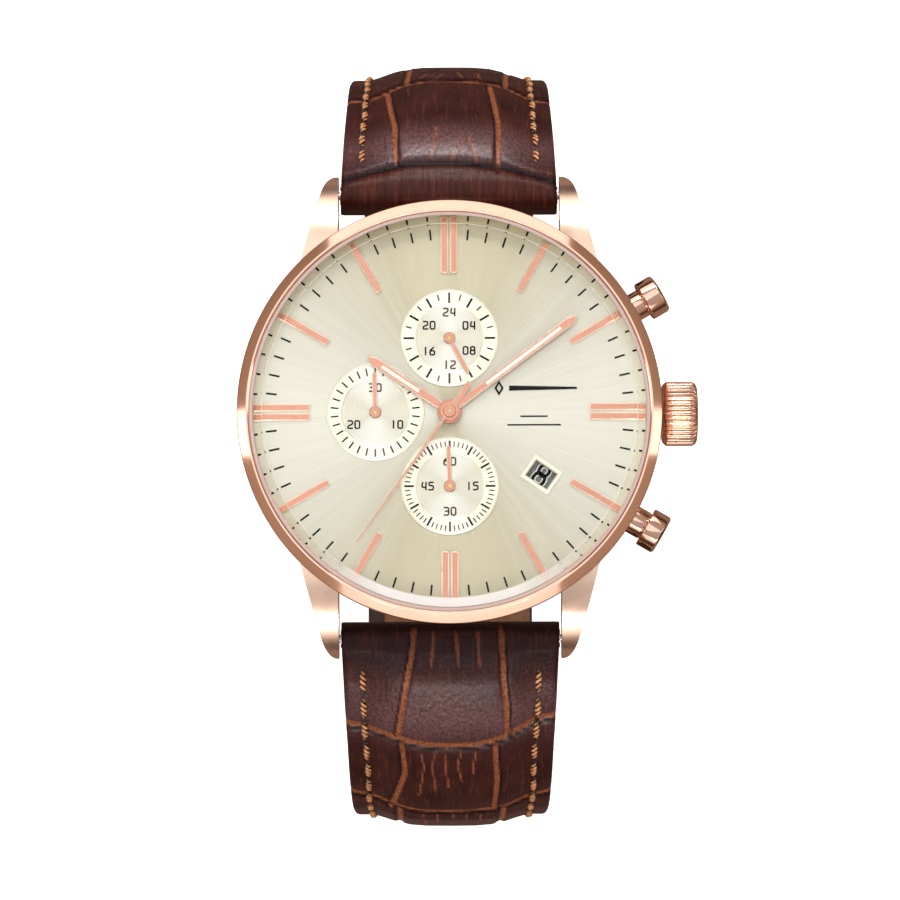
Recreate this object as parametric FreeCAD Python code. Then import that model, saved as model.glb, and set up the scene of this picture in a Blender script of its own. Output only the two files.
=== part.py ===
"""Quartz chronograph wristwatch on a padded leather strap, fastened round an empty wrist space.

Millimetres. +Z is the dial's outward normal, +Y points to 12 o'clock, +X to the crown.
The origin is the centre of the case back's flat outer face.
"""
import FreeCAD
import Part
import math
import os

V = FreeCAD.Vector
os.makedirs("parts", exist_ok=True)

# ---- driving dimensions -------------------------------------------------
CASE_R = 20.3            # case band
CASE_Z0 = 0.6
CASE_Z1 = 6.5
CAVITY_R = 17.6          # movement cavity
DIAL_R = 19.3
DIAL_Z0 = 5.8
DIAL_Z = 6.2             # dial's upper face
BACK_R = 17.2
BACK_SPIGOT_R = 15.6
BEZEL_R = 21.0
BEZEL_TOP_R = 20.2       # inner end of the sloped band
BEZEL_SIDE_Z = 7.78
BEZEL_BORE_R = 19.8
BEZEL_Z = 8.3
CRYSTAL_R = 19.4
CRYSTAL_FLAT_R = 18.5
CRYSTAL_Z0 = 7.95
CRYSTAL_EDGE_Z = 8.4
CRYSTAL_Z1 = 8.9
LUG_IN = 11.05           # half the gap between the lugs
LUG_TIP_Y = 24.15
BAR_Y = 22.2             # spring bars
BAR_Z = 2.0
BAR_R = 0.9
STEM_Z = 3.6             # crown and pusher axes
CROWN_R = 3.2
CROWN_X0 = 21.1
CROWN_X1 = 24.65
PUSH_DEG = 30.0
PUSH_HEAD_R = 2.0
PUSH_HEAD_0 = 22.4
PUSH_HEAD_1 = 24.3
PUSH_NECK_R = 1.44
SUB_C = 7.35             # sub-dial centre distance
SUB_R = 4.86
SUB_Z = 6.26             # sub-dial face
SUB_RIM_Z = 6.34
MARK_R0 = 13.8           # hour markers, inner end
MARK_W = 0.78
MARK_GAP = 0.92          # spacing of the doubled markers
MARK_R1 = 19.2
MARK_Z = 6.5
MARK_CHAMFER = 0.16
DATE_R = 11.0
DATE_DEG = 124.6
DATE_W = 1.8             # opening in the date frame
DATE_L = 2.45
DATE_DAYS = 31
STRAP_W_LUG = 21.7
STRAP_W_END = 18.0
PIVOT_Y = 2.2            # buckle bar
PIVOT_Z = -47.6
BUCKLE_TILT = 15.5      # buckle frame against the strap
PLATE_R = 14.4
HOUR_DEG = 303.8         # hands at rest, clockwise from 12
MINUTE_DEG = 53.3
SWEEP_DEG = 215.5
H24_DEG = 152.0
MIN30_DEG = -1.5
SEC_DEG = -1.8
SMALL_HAND_Z = 6.44      # undersides of the hands
HOUR_HAND_Z = 6.70
MINUTE_HAND_Z = 7.02
SWEEP_HAND_Z = 7.32
HAND_T = 0.16
ARBOR_R = 0.2
MOTION_Z0 = 4.85         # cannon pinion and minute wheel teeth
HOUR_WHEEL_Z = 5.16
MOTION_Z1 = 5.4
TRAIN_Z0 = 3.2           # wheels under the main plate
TRAIN_Z1 = 3.4
KEEPER_HALF_W = 10.4
KEEPER_W = 4.0
KEEPER_Z0 = -51.95
KEEPER_H = 6.6
KEEPER_T = 0.95
BUCKLE_HALF_W = 11.45
BUCKLE_L = 12.0
BUCKLE_T = 1.3
TANG_HALF_W = 0.8
BUCKLE_BAR_R = 0.7
HOLE_R = 1.1             # tang holes in the long strap
HOLE_PITCH = 6.6
HOLE_HALF = 0.75         # half the straight part of a hole


# ---- helpers ------------------------------------------------------------
def save(name, shape):
    shape.exportStep("parts/" + name + ".step")


def disc(r, z0, z1, x=0.0, y=0.0):
    return Part.makeCylinder(r, z1 - z0, V(x, y, z0))


def ring(ro, ri, z0, z1, x=0.0, y=0.0):
    return disc(ro, z0, z1, x, y).cut(disc(ri, z0 - 1, z1 + 1, x, y))


def rod(r, x0, x1, y=0.0, z=0.0):
    return Part.makeCylinder(r, x1 - x0, V(x0, y, z), V(1, 0, 0))


def turned(points):
    """A body of revolution about Z from (radius, z) points."""
    pts = [V(r, 0, z) for r, z in points]
    face = Part.Face(Part.makePolygon(pts + [pts[0]]))
    return face.revolve(V(0, 0, 0), V(0, 0, 1), 360)


def turned_x(points, z):
    """A body of revolution about the X direction at height z from (x, radius) points."""
    pts = [V(x, 0, z + r) for x, r in points]
    face = Part.Face(Part.makePolygon(pts + [pts[0]]))
    return face.revolve(V(0, 0, z), V(1, 0, 0), 360)


def plan(points, z0, z1):
    pts = [V(x, y, z0) for x, y in points]
    return Part.Face(Part.makePolygon(pts + [pts[0]])).extrude(V(0, 0, z1 - z0))


def side(points, x0, x1):
    pts = [V(x0, y, z) for y, z in points]
    return Part.Face(Part.makePolygon(pts + [pts[0]])).extrude(V(x1 - x0, 0, 0))


def spin(shape, deg, x=0.0, y=0.0):
    """Turned clockwise as seen from the dial side."""
    out = shape.copy()
    out.rotate(V(x, y, 0), V(0, 0, 1), -deg)
    return out


def at_deg(r, deg):
    a = math.radians(deg)
    return r * math.sin(a), r * math.cos(a)


def gear_points(teeth, module, phase):
    pitch_r = teeth * module / 2
    tip_r = pitch_r + 0.75 * module
    root_r = pitch_r - 1.15 * module
    step = 2 * math.pi / teeth
    pts = []
    for i in range(teeth):
        a = math.radians(phase) + i * step
        for r, f in ((root_r, -0.31), (tip_r, -0.13), (tip_r, 0.13), (root_r, 0.31)):
            pts.append((r * math.cos(a + f * step), r * math.sin(a + f * step)))
    return pts


def gear(teeth, module, z0, z1, x, y, phase, bore):
    wheel = plan(gear_points(teeth, module, phase), z0, z1)
    if bore > 0:
        wheel = wheel.cut(disc(bore, z0 - 1, z1 + 1))
    wheel.translate(V(x, y, 0))
    return wheel


def mesh_phase(teeth, phase, other_teeth, toward_deg):
    """Phase of the mating wheel that lies in the toward_deg direction from this one."""
    step = 360.0 / teeth
    off = ((toward_deg - phase) / step) % 1.0
    other_step = 360.0 / other_teeth
    return toward_deg + 180.0 + (off + 0.5) * other_step


# ---- case middle with four lugs -----------------------------------------
band = turned([
    (BACK_SPIGOT_R + 0.05, CASE_Z0),
    (18.0, CASE_Z0),
    (19.3, 1.3),
    (20.1, 2.5),
    (CASE_R, 3.4),
    (CASE_R, 5.9),
    (20.15, CASE_Z1),
    (DIAL_R + 0.05, CASE_Z1),
    (DIAL_R + 0.05, DIAL_Z0),
    (CAVITY_R, DIAL_Z0),
    (CAVITY_R, 1.55),
    (BACK_SPIGOT_R + 0.05, 1.55),
])
lug_edge = Part.BSplineCurve()
lug_edge.interpolate([
    V(15.4, 11.5, -1), V(14.9, 14.5, -1), V(14.25, 17.0, -1), V(13.45, 20.0, -1),
    V(12.8, 22.2, -1), V(12.3, 23.4, -1), V(11.7, 24.0, -1), V(LUG_IN, LUG_TIP_Y, -1),
])
lug_line = Part.makePolygon([
    V(LUG_IN, LUG_TIP_Y, -1), V(LUG_IN, 11.5, -1), V(15.4, 11.5, -1),
])
lug_plan = Part.Face(Part.Wire([lug_edge.toShape()] + lug_line.Edges)).extrude(V(0, 0, 9))
lug_top = Part.BSplineCurve()
lug_top.interpolate([
    V(0, 11.4, 6.3), V(0, 16.0, 6.25), V(0, 19.5, 5.65), V(0, 22.2, 4.3),
    V(0, 23.7, 2.8), V(0, 24.25, 1.2),
])
lug_under = Part.makePolygon([
    V(0, 24.25, 1.2), V(0, 23.8, 0.35), V(0, 22.6, 0.15), V(0, 20.0, 0.35),
    V(0, 17.0, 0.8), V(0, 11.4, 0.8), V(0, 11.4, 6.3),
])
lug_side = Part.Face(Part.Wire([lug_top.toShape()] + lug_under.Edges)).extrude(V(20, 0, 0))
lug = lug_plan.common(lug_side)
lug = lug.cut(disc(18.6, -2, DIAL_Z0))
lug = lug.cut(disc(DIAL_R + 0.05, DIAL_Z0, 10))
case_middle = band
for mirror_x in (False, True):
    for mirror_y in (False, True):
        one = lug.copy()
        if mirror_x:
            one = one.mirror(V(0, 0, 0), V(1, 0, 0))
        if mirror_y:
            one = one.mirror(V(0, 0, 0), V(0, 1, 0))
        case_middle = case_middle.fuse(one)
for sy in (1, -1):
    case_middle = case_middle.cut(rod(0.45, -12.05, 12.05, sy * BAR_Y, BAR_Z))
case_middle = case_middle.cut(rod(1.5, 15, 23, 0, STEM_Z))
for sgn in (1, -1):
    hole = rod(1.8, 15, 23, 0, STEM_Z)
    hole.rotate(V(0, 0, 0), V(0, 0, 1), sgn * PUSH_DEG)
    case_middle = case_middle.cut(hole)
save("case_middle", case_middle)

# ---- bezel, gasket, crystal ----------------------------------------------
save("bezel", turned([
    (BEZEL_BORE_R, CASE_Z1), (20.85, CASE_Z1), (BEZEL_R, 6.65), (BEZEL_R, BEZEL_SIDE_Z),
    (BEZEL_TOP_R, BEZEL_Z - 0.05), (BEZEL_TOP_R - 0.1, BEZEL_Z), (19.95, BEZEL_Z),
    (BEZEL_BORE_R, 8.15),
]))
save("crystal_gasket", turned([
    (CRYSTAL_R, 7.0), (BEZEL_BORE_R, 7.0), (BEZEL_BORE_R, 8.1), (CRYSTAL_R, 8.1),
]).fuse(turned([
    (18.9, 7.0), (BEZEL_BORE_R, 7.0), (BEZEL_BORE_R, 7.6), (18.9, CRYSTAL_Z0),
]).cut(disc(CRYSTAL_R, CRYSTAL_Z0, 9))))
save("crystal", turned([
    (0, CRYSTAL_Z0), (CRYSTAL_R, CRYSTAL_Z0), (CRYSTAL_R, CRYSTAL_EDGE_Z),
    (CRYSTAL_FLAT_R, CRYSTAL_Z1), (0, CRYSTAL_Z1),
]))

# ---- case back -----------------------------------------------------------
back = turned([
    (0, 0), (15.9, 0), (16.6, 0.15), (BACK_R, 0.5), (BACK_R, CASE_Z0),
    (BACK_SPIGOT_R, CASE_Z0), (BACK_SPIGOT_R, 1.5), (14.6, 1.5), (14.6, 1.1), (0, 1.1),
])
for i in range(6):
    notch = Part.makeBox(2.4, 1.6, 0.5, V(-1.2, 14.9, -0.1))
    back = back.cut(spin(notch, i * 60 + 30))
save("case_back", back)
save("case_back_gasket", ring(17.1, 16.2, 1.6, 1.85))

# ---- tubes in the case wall ------------------------------------------------
save("crown_tube", turned_x([
    (17.7, 0.65), (17.7, 1.5), (20.95, 1.5), (21.0, 1.45), (21.0, 0.65),
], STEM_Z))
push_tube = turned_x([
    (17.4, 0.5), (17.4, 1.8), (20.15, 1.8), (20.15, 1.48), (17.75, 1.48), (17.75, 0.5),
], STEM_Z)
plunger = turned_x([
    (16.85, 0), (16.85, 0.45), (19.5, 0.45), (19.5, PUSH_NECK_R),
    (PUSH_HEAD_0, PUSH_NECK_R), (PUSH_HEAD_0, PUSH_HEAD_R - 0.1), (PUSH_HEAD_0 + 0.1, PUSH_HEAD_R),
    (PUSH_HEAD_1 - 0.2, PUSH_HEAD_R), (PUSH_HEAD_1, PUSH_HEAD_R - 0.18),
    (PUSH_HEAD_1 + 0.05, 0),
], STEM_Z)
plunger = plunger.cut(turned_x([
    (17.1, 0.28), (17.1, 0.6), (17.3, 0.6), (17.3, 0.28),
], STEM_Z))
clip = turned_x([
    (17.12, 0.29), (17.12, 0.85), (17.28, 0.85), (17.28, 0.29),
], STEM_Z)
clip = clip.cut(Part.makeBox(1, 0.5, 2, V(16.7, -0.25, STEM_Z)))
SPRING_R = 1.0
SPRING_WIRE_R = 0.13
SPRING_TURNS = 2.5
SPRING_X0 = 17.93
SPRING_LENGTH = 1.35
SPRING_STEPS = 50
WIRE_SIDES = 6
rings = []
for i in range(SPRING_STEPS + 1):
    a = 2 * math.pi * SPRING_TURNS * i / SPRING_STEPS
    u = SPRING_X0 + SPRING_LENGTH * i / SPRING_STEPS
    rings.append([V(u + SPRING_WIRE_R * math.sin(b),
                    (SPRING_R + SPRING_WIRE_R * math.cos(b)) * math.cos(a),
                    STEM_Z + (SPRING_R + SPRING_WIRE_R * math.cos(b)) * math.sin(a))
                  for b in [2 * math.pi * k / WIRE_SIDES for k in range(WIRE_SIDES)]])
facets = [Part.Face(Part.makePolygon(rings[0] + [rings[0][0]]))]
facets.append(Part.Face(Part.makePolygon(rings[-1] + [rings[-1][0]])))
for one, two in zip(rings, rings[1:]):
    for k in range(WIRE_SIDES):
        m = (k + 1) % WIRE_SIDES
        facets.append(Part.Face(Part.makePolygon([one[k], one[m], two[m], one[k]])))
        facets.append(Part.Face(Part.makePolygon([one[k], two[m], two[k], one[k]])))
shell = Part.makeShell(facets)
shell.sewShape()
push_spring = Part.makeSolid(shell)
for tag, sgn in (("2", 1), ("4", -1)):
    for stem_name, shape in (
        ("pusher_tube_", push_tube), ("pusher_", plunger),
        ("pusher_clip_", clip), ("pusher_spring_", push_spring),
    ):
        item = shape.copy()
        item.rotate(V(0, 0, 0), V(0, 0, 1), sgn * PUSH_DEG)
        save(stem_name + tag, item)

# ---- crown, stem, clutch ---------------------------------------------------
flutes = []
FLUTES = 36
for i in range(FLUTES):
    step = 2 * math.pi / FLUTES
    for r, f in ((CROWN_R - 0.2, -0.5), (CROWN_R - 0.05, -0.25), (CROWN_R, -0.15),
                 (CROWN_R, 0.15), (CROWN_R - 0.05, 0.25)):
        a = (i + f) * step
        flutes.append(V(CROWN_X0, r * math.cos(a), STEM_Z + r * math.sin(a)))
crown = Part.Face(Part.makePolygon(flutes + [flutes[0]])).extrude(V(CROWN_X1 - CROWN_X0, 0, 0))
crown = crown.common(turned_x([
    (CROWN_X0, 0), (CROWN_X0, 2.85), (CROWN_X0 + 0.3, CROWN_R + 0.05),
    (CROWN_X1 - 0.5, CROWN_R + 0.05), (CROWN_X1 - 0.15, 2.75), (CROWN_X1 - 0.05, 2.2),
    (CROWN_X1, 0),
], STEM_Z))
crown = crown.cut(rod(1.75, CROWN_X0 - 1, 22.8, 0, STEM_Z))
crown = crown.cut(rod(0.6, 22, 23.5, 0, STEM_Z))
save("crown", crown)
save("crown_gasket", turned_x([
    (21.5, 1.53), (21.5, 1.75), (22.1, 1.75), (22.1, 1.53),
], STEM_Z).cut(rod(1.53, 20, 23, 0, STEM_Z)))
stem = turned_x([
    (7.2, 0), (7.2, 0.25), (8.2, 0.25), (8.2, 0.3), (15.0, 0.3), (15.0, 0.6),
    (23.5, 0.6), (23.5, 0),
], STEM_Z)
STEM_SQUARE = 0.64
stem_square = Part.makeBox(6.8, STEM_SQUARE, STEM_SQUARE,
                           V(8.2, -STEM_SQUARE / 2, STEM_Z - STEM_SQUARE / 2))
save("stem", stem.fuse(stem_square))
CLUTCH_TEETH = 18
CLUTCH_X0 = 10.7
CLUTCH_LENGTH = 1.7
CLUTCH_ROOT_R = 0.6
CLUTCH_TIP_R = 0.76
CLUTCH_HOLE = 0.72
clutch_pts = []
for i in range(CLUTCH_TEETH):
    for r, f in ((CLUTCH_ROOT_R, -0.3), (CLUTCH_TIP_R, -0.12), (CLUTCH_TIP_R, 0.12),
                 (CLUTCH_ROOT_R, 0.3)):
        a = (i + f) * 2 * math.pi / CLUTCH_TEETH
        clutch_pts.append(V(CLUTCH_X0, r * math.cos(a), STEM_Z + r * math.sin(a)))
clutch = Part.Face(Part.makePolygon(clutch_pts + [clutch_pts[0]])).extrude(V(CLUTCH_LENGTH, 0, 0))
clutch = clutch.cut(Part.makeBox(4, CLUTCH_HOLE, CLUTCH_HOLE,
                                 V(10, -CLUTCH_HOLE / 2, STEM_Z - CLUTCH_HOLE / 2)))
save("clutch", clutch)

# ---- movement --------------------------------------------------------------
SUBS = {"12": (0.0, SUB_C), "9": (-SUB_C, 0.0), "6": (0.0, -SUB_C)}
MIN_WHEEL_DEG = 150.0
MW = at_deg(2.4, MIN_WHEEL_DEG)
M2 = 0.096
d1 = (40 + 17) * M2 / 2
d2 = (80 + 17) * M2 / 2
idler_y = (d1 * d1 - d2 * d2 + SUB_C * SUB_C) / (2 * SUB_C)
idler_x = math.sqrt(d1 * d1 - idler_y * idler_y)
BATTERY = (-7.2, 7.2)

holder = ring(17.5, 14.5, 1.9, 5.7)
holder = holder.cut(rod(0.95, 13, 19, 0, STEM_Z))
holder = holder.cut(rod(1.55, 17.2, 19, 0, STEM_Z))
for sgn in (1, -1):
    pocket = rod(1.9, 15.4, 18.5, 0, STEM_Z)
    pocket.rotate(V(0, 0, 0), V(0, 0, 1), sgn * PUSH_DEG)
    holder = holder.cut(pocket)
save("movement_ring", holder)

main_plate = disc(PLATE_R, 4.4, 5.4)
main_plate = main_plate.cut(disc(2.25, 4.78, 6))
main_plate = main_plate.cut(disc(2.15, 4.78, 6, MW[0], MW[1]))
main_plate = main_plate.cut(disc(1.2, 5.05, 6, idler_x, idler_y))
main_plate = main_plate.cut(disc(4.15, 5.05, 6, 0, SUB_C))
main_plate = main_plate.cut(disc(0.28, 4, 6))
for cx, cy in SUBS.values():
    main_plate = main_plate.cut(disc(0.25, 4, 6, cx, cy))
save("main_plate", main_plate)

bridge = disc(13.6, 2.2, 2.75)
bridge = bridge.cut(disc(4.2, 2, 3, BATTERY[0], BATTERY[1]))
bridge = bridge.cut(Part.makeBox(8, 2.6, 2, V(12.2, -1.3, 2)))
for cx, cy in [(0, 0), SUBS["9"], SUBS["6"]]:
    bridge = bridge.cut(disc(0.25, 2, 3, cx, cy))
for pillar_deg in (40, 130, 210, 270):
    px, py = at_deg(12.6, pillar_deg)
    bridge = bridge.fuse(disc(0.6, 2.75, 4.4, px, py))
save("train_bridge", bridge)
board = disc(13.6, 1.85, 2.15)
board = board.cut(disc(4.2, 1, 3, BATTERY[0], BATTERY[1]))
board = board.fuse(Part.makeBox(2.4, 2.4, 0.2, V(3.2, -7.4, 1.65)))
save("circuit_board", board)
save("battery", turned([
    (0, 1.85), (3.2, 1.85), (3.3, 2.0), (3.75, 2.0), (3.95, 2.2), (3.95, 3.95), (0, 3.95),
]).translated(V(BATTERY[0], BATTERY[1], 0)))
clamp = Part.makeBox(9.6, 1.8, 0.15, V(-4.8, -0.9, 1.65))
clamp = clamp.fuse(disc(1.4, 1.65, 1.8, -4.8, 0)).fuse(disc(1.4, 1.65, 1.8, 4.8, 0))
clamp.rotate(V(0, 0, 0), V(0, 0, 1), 45)
clamp.translate(V(BATTERY[0], BATTERY[1], 0))
clamp = clamp.common(disc(14.2, 1, 2))
save("battery_clamp", clamp)
for name, cx, cy, ang in (("coil_time", 5.9, 7.1, -45), ("coil_chrono", -6.9, -6.9, -45)):
    core = Part.makeBox(9.4, 1.1, 0.3, V(-4.7, -0.55, 3.45))
    core = core.fuse(rod(0.72, -3.2, 3.2, 0, STEM_Z))
    for e in (-3.4, 3.2):
        core = core.fuse(Part.makeBox(0.2, 1.6, 1.4, V(e, -0.8, 2.9)))
    core.rotate(V(0, 0, 0), V(0, 0, 1), ang)
    core.translate(V(cx, cy, 0))
    save(name, core)
for name, cx, cy in (("rotor_time", 3.3, 4.7), ("rotor_chrono", -3.5, -4.5)):
    rotor = disc(0.75, 3.3, 3.8, cx, cy).fuse(disc(0.2, 2.8, 4.35, cx, cy))
    rotor = rotor.fuse(gear(8, 0.1, 3.9, 4.2, cx, cy, 0, 0))
    save(name, rotor)

# ---- motion works: 12:1 under the dial, 24 h train -------------------------
PH_CANNON = 0.0
mw_dir = math.degrees(math.atan2(MW[1], MW[0]))
ph_mw = mesh_phase(12, PH_CANNON, 36, mw_dir)
cannon = gear(12, 0.1, MOTION_Z0, 5.1, 0, 0, PH_CANNON, 0.24)
cannon = cannon.fuse(ring(0.45, 0.24, 5.1, MINUTE_HAND_Z + HAND_T))
save("cannon_pinion", cannon)
PH_PINION = 7.0
minute_wheel = gear(36, 0.1, MOTION_Z0, 5.1, MW[0], MW[1], ph_mw, 0)
minute_wheel = minute_wheel.fuse(gear(10, M2, 5.1, MOTION_Z1, MW[0], MW[1], PH_PINION, 0))
save("minute_wheel", minute_wheel)
ph_hour = mesh_phase(10, PH_PINION, 40, mw_dir + 180)
hour_wheel = gear(40, M2, HOUR_WHEEL_Z, MOTION_Z1, 0, 0, ph_hour, 0.49)
hour_wheel = hour_wheel.fuse(ring(0.75, 0.49, HOUR_WHEEL_Z, HOUR_HAND_Z + HAND_T))
save("hour_wheel", hour_wheel)
id_dir = math.degrees(math.atan2(idler_y, idler_x))
ph_idler = mesh_phase(40, ph_hour, 17, id_dir)
save("idler_24h", gear(17, M2, HOUR_WHEEL_Z, 5.36, idler_x, idler_y, ph_idler, 0))
dir24 = math.degrees(math.atan2(SUB_C - idler_y, -idler_x))
ph24 = mesh_phase(17, ph_idler, 80, dir24)
SMALL_ARBOR_Z1 = 6.56
ARBOR_Z0 = 2.3
wheel_24h = gear(80, M2, HOUR_WHEEL_Z, 5.36, 0, SUB_C, ph24, 0)
wheel_24h = wheel_24h.fuse(disc(ARBOR_R, 4.5, SMALL_ARBOR_Z1, 0, SUB_C))
save("wheel_24h", wheel_24h)
arbor = disc(ARBOR_R, ARBOR_Z0, 7.62).fuse(gear(60, 0.1, TRAIN_Z0, TRAIN_Z1, 0, 0, 0, 0))
save("chrono_arbor", arbor)
for name, key, teeth in (("arbor_30min", "9", 30), ("arbor_seconds", "6", 32)):
    cx, cy = SUBS[key]
    item = disc(ARBOR_R, ARBOR_Z0, SMALL_ARBOR_Z1, cx, cy)
    item = item.fuse(gear(teeth, 0.1, TRAIN_Z0, TRAIN_Z1, cx, cy, 0, 0))
    save(name, item)

# ---- date ring --------------------------------------------------------------
date_ring = ring(12.7, 9.35, 5.46, 5.64)
for i in range(DATE_DAYS):
    tooth = Part.makeBox(0.5, 0.5, 1, V(9.2, -0.25, 5.2))
    tooth.rotate(V(0, 0, 0), V(0, 0, 1), i * 360.0 / DATE_DAYS)
    date_ring = date_ring.cut(tooth)
save("date_ring", date_ring)

# ---- dial -------------------------------------------------------------------
WINDOW_W = DATE_W + 0.1
WINDOW_L = DATE_L + 0.1
window = Part.makeBox(WINDOW_W, WINDOW_L, 2, V(-WINDOW_W / 2, DATE_R - WINDOW_L / 2, 5.5))
dial = disc(DIAL_R, DIAL_Z0, DIAL_Z).cut(disc(0.85, 5, 7)).cut(spin(window, DATE_DEG))
for cx, cy in SUBS.values():
    dial = dial.cut(disc(0.35, 5, 7, cx, cy))
save("dial", dial)
for name, key in (("subdial_12", "12"), ("subdial_9", "9"), ("subdial_6", "6")):
    cx, cy = SUBS[key]
    pan = turned([
        (0.35, DIAL_Z), (SUB_R, DIAL_Z), (SUB_R, SUB_RIM_Z - 0.03), (SUB_R - 0.06, SUB_RIM_Z),
        (SUB_R - 0.14, SUB_RIM_Z), (SUB_R - 0.2, SUB_Z), (0.35, SUB_Z),
    ])
    pan.translate(V(cx, cy, 0))
    save(name, pan)
FRAME_W = 2.7
FRAME_L = 3.3
frame = Part.makeBox(FRAME_W, FRAME_L, 0.2, V(-FRAME_W / 2, DATE_R - FRAME_L / 2, DIAL_Z))
frame = frame.cut(Part.makeBox(DATE_W, DATE_L, 1, V(-DATE_W / 2, DATE_R - DATE_L / 2, 6)))
save("date_frame", spin(frame, DATE_DEG))

markers = []
for hour in range(12):
    offsets = (0.0,)
    if hour % 3 == 0:
        offsets = (-MARK_GAP / 2, MARK_GAP / 2)
    for off in offsets:
        h = MARK_W / 2
        if hour % 3 == 0:
            h = MARK_W / 2 - 0.01
        outer = math.sqrt(MARK_R1 ** 2 - (abs(off) + h) ** 2)
        prof = [V(-h, 0, DIAL_Z), V(h, 0, DIAL_Z), V(h, 0, MARK_Z - 0.12),
                V(h - MARK_CHAMFER, 0, MARK_Z), V(-h + MARK_CHAMFER, 0, MARK_Z),
                V(-h, 0, MARK_Z - 0.12)]
        bar = Part.Face(Part.makePolygon(prof + [prof[0]])).extrude(V(0, outer - MARK_R0 - h, 0))
        nose = turned([(0, DIAL_Z), (h, DIAL_Z), (h, MARK_Z - 0.12), (h - MARK_CHAMFER, MARK_Z),
                       (0, MARK_Z)])
        bar = bar.fuse(nose)
        bar.translate(V(off, MARK_R0 + h, 0))
        markers.append(spin(bar.removeSplitter(), hour * 30))
save("hour_markers", Part.makeCompound(markers))

emblem = plan([(4.9, 1.6), (5.35, 2.35), (4.9, 3.1), (4.45, 2.35)], DIAL_Z, 6.34)
emblem = emblem.cut(plan([(4.9, 1.95), (5.14, 2.35), (4.9, 2.75), (4.66, 2.35)], 6.1, 6.5))
bar = plan([(5.9, 2.1), (12.6, 2.25), (12.6, 2.45), (5.9, 2.6)], DIAL_Z, 6.32)
save("dial_emblem", Part.makeCompound([emblem, bar]))


# ---- hands ------------------------------------------------------------------
def baton(z0, deg, length, half, hub_r, bore):
    """A straight hand with a blunt point, from its hub at the dial centre."""
    neck = 0.82 * half
    pts = [(-neck, 0), (neck, 0), (half, length - 0.8), (0.2, length), (-0.2, length),
           (-half, length - 0.8)]
    body = plan(pts, z0, z0 + HAND_T)
    body = spin(body.fuse(disc(hub_r, z0, z0 + HAND_T)), deg)
    return body.cut(disc(bore, z0 - 1, z0 + 1))


save("hour_hand", baton(HOUR_HAND_Z, HOUR_DEG, 9.7, 0.50, 1.2, 0.75))
save("minute_hand", baton(MINUTE_HAND_Z, MINUTE_DEG, 15.65, 0.46, 1.0, 0.45))
sweep = plan([(-0.23, -3.5), (0.23, -3.5), (0.2, 0), (0.06, 15.9), (-0.06, 15.9), (-0.2, 0)],
             SWEEP_HAND_Z, SWEEP_HAND_Z + 0.12)
sweep = spin(sweep.fuse(disc(0.62, SWEEP_HAND_Z, SWEEP_HAND_Z + 0.23)), SWEEP_DEG)
save("chrono_hand", sweep.cut(disc(ARBOR_R, 7, 8)))
for name, key, deg in (("hand_24h", "12", H24_DEG), ("hand_30min", "9", MIN30_DEG),
                       ("hand_seconds", "6", SEC_DEG)):
    cx, cy = SUBS[key]
    small = plan([(cx - 0.22, cy - 0.9), (cx + 0.22, cy - 0.9), (cx + 0.22, cy + 3.4),
                  (cx, cy + 4.0), (cx - 0.22, cy + 3.4)], SMALL_HAND_Z, SMALL_HAND_Z + 0.1)
    small = small.fuse(disc(0.56, SMALL_HAND_Z - 0.02, SMALL_HAND_Z + 0.14, cx, cy))
    save(name, spin(small, deg, cx, cy).cut(disc(ARBOR_R, 6, SMALL_ARBOR_Z1, cx, cy)))


# ---- strap --------------------------------------------------------------------
def curve_point(pts, t):
    """Catmull-Rom through (y, z) points, t in 0..len-1."""
    i = min(int(t), len(pts) - 2)
    f = t - i
    p1 = pts[i]
    p2 = pts[i + 1]
    p0 = pts[i - 1] if i > 0 else (2 * p1[0] - p2[0], 2 * p1[1] - p2[1])
    p3 = pts[i + 2] if i + 2 < len(pts) else (2 * p2[0] - p1[0], 2 * p2[1] - p1[1])
    out = []
    for k in (0, 1):
        a = 2 * p1[k]
        b = p2[k] - p0[k]
        c = 2 * p0[k] - 5 * p1[k] + 4 * p2[k] - p3[k]
        d = -p0[k] + 3 * p1[k] - 3 * p2[k] + p3[k]
        out.append(0.5 * (a + b * f + c * f * f + d * f * f * f))
    return out


def walk(pts, n=900):
    """Points with running length along the inner line."""
    line = []
    total = 0.0
    last = None
    for i in range(n + 1):
        y, z = curve_point(pts, (len(pts) - 1) * i / n)
        if last is not None:
            total += math.hypot(y - last[0], z - last[1])
        line.append((total, y, z))
        last = (y, z)
    return line


def place(line, s):
    for i in range(1, len(line)):
        if line[i][0] >= s or i == len(line) - 1:
            a = line[i - 1]
            b = line[i]
            span = max(b[0] - a[0], 1e-9)
            f = min(max((s - a[0]) / span, 0.0), 1.0)
            ty = (b[1] - a[1]) / span
            tz = (b[2] - a[2]) / span
            return a[1] + f * (b[1] - a[1]), a[2] + f * (b[2] - a[2]), ty, tz


def blend(table, s):
    """Straight-line interpolation in (s, value) pairs."""
    for (s0, v0), (s1, v1) in zip(table, table[1:]):
        if s <= s1:
            return v0 + (v1 - v0) * max(s - s0, 0.0) / (s1 - s0)
    return table[-1][1]


def section(line, s, width, edge, mid, lift=0.0):
    y, z, ty, tz = place(line, s)
    h = width / 2
    half = [(h - 0.35, lift), (h, lift + 0.35), (h, edge - 0.55), (h - 0.45, edge),
            (h * 0.76, edge + 0.12 * (mid - edge)), (h * 0.56, edge + 0.72 * (mid - edge)),
            (h * 0.3, edge + 0.95 * (mid - edge))]
    pts = half + [(-a, b) for a, b in reversed(half)]
    out = [V(a, y - tz * b, z + ty * b) for a, b in pts]
    return Part.makePolygon(out + [out[0]])


def strap(line, stations, widths, edges, mids):
    wires = []
    for s in stations:
        wires.append(section(line, s, blend(widths, s), blend(edges, s), blend(mids, s)))
    return Part.makeLoft(wires, True, False)


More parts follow.
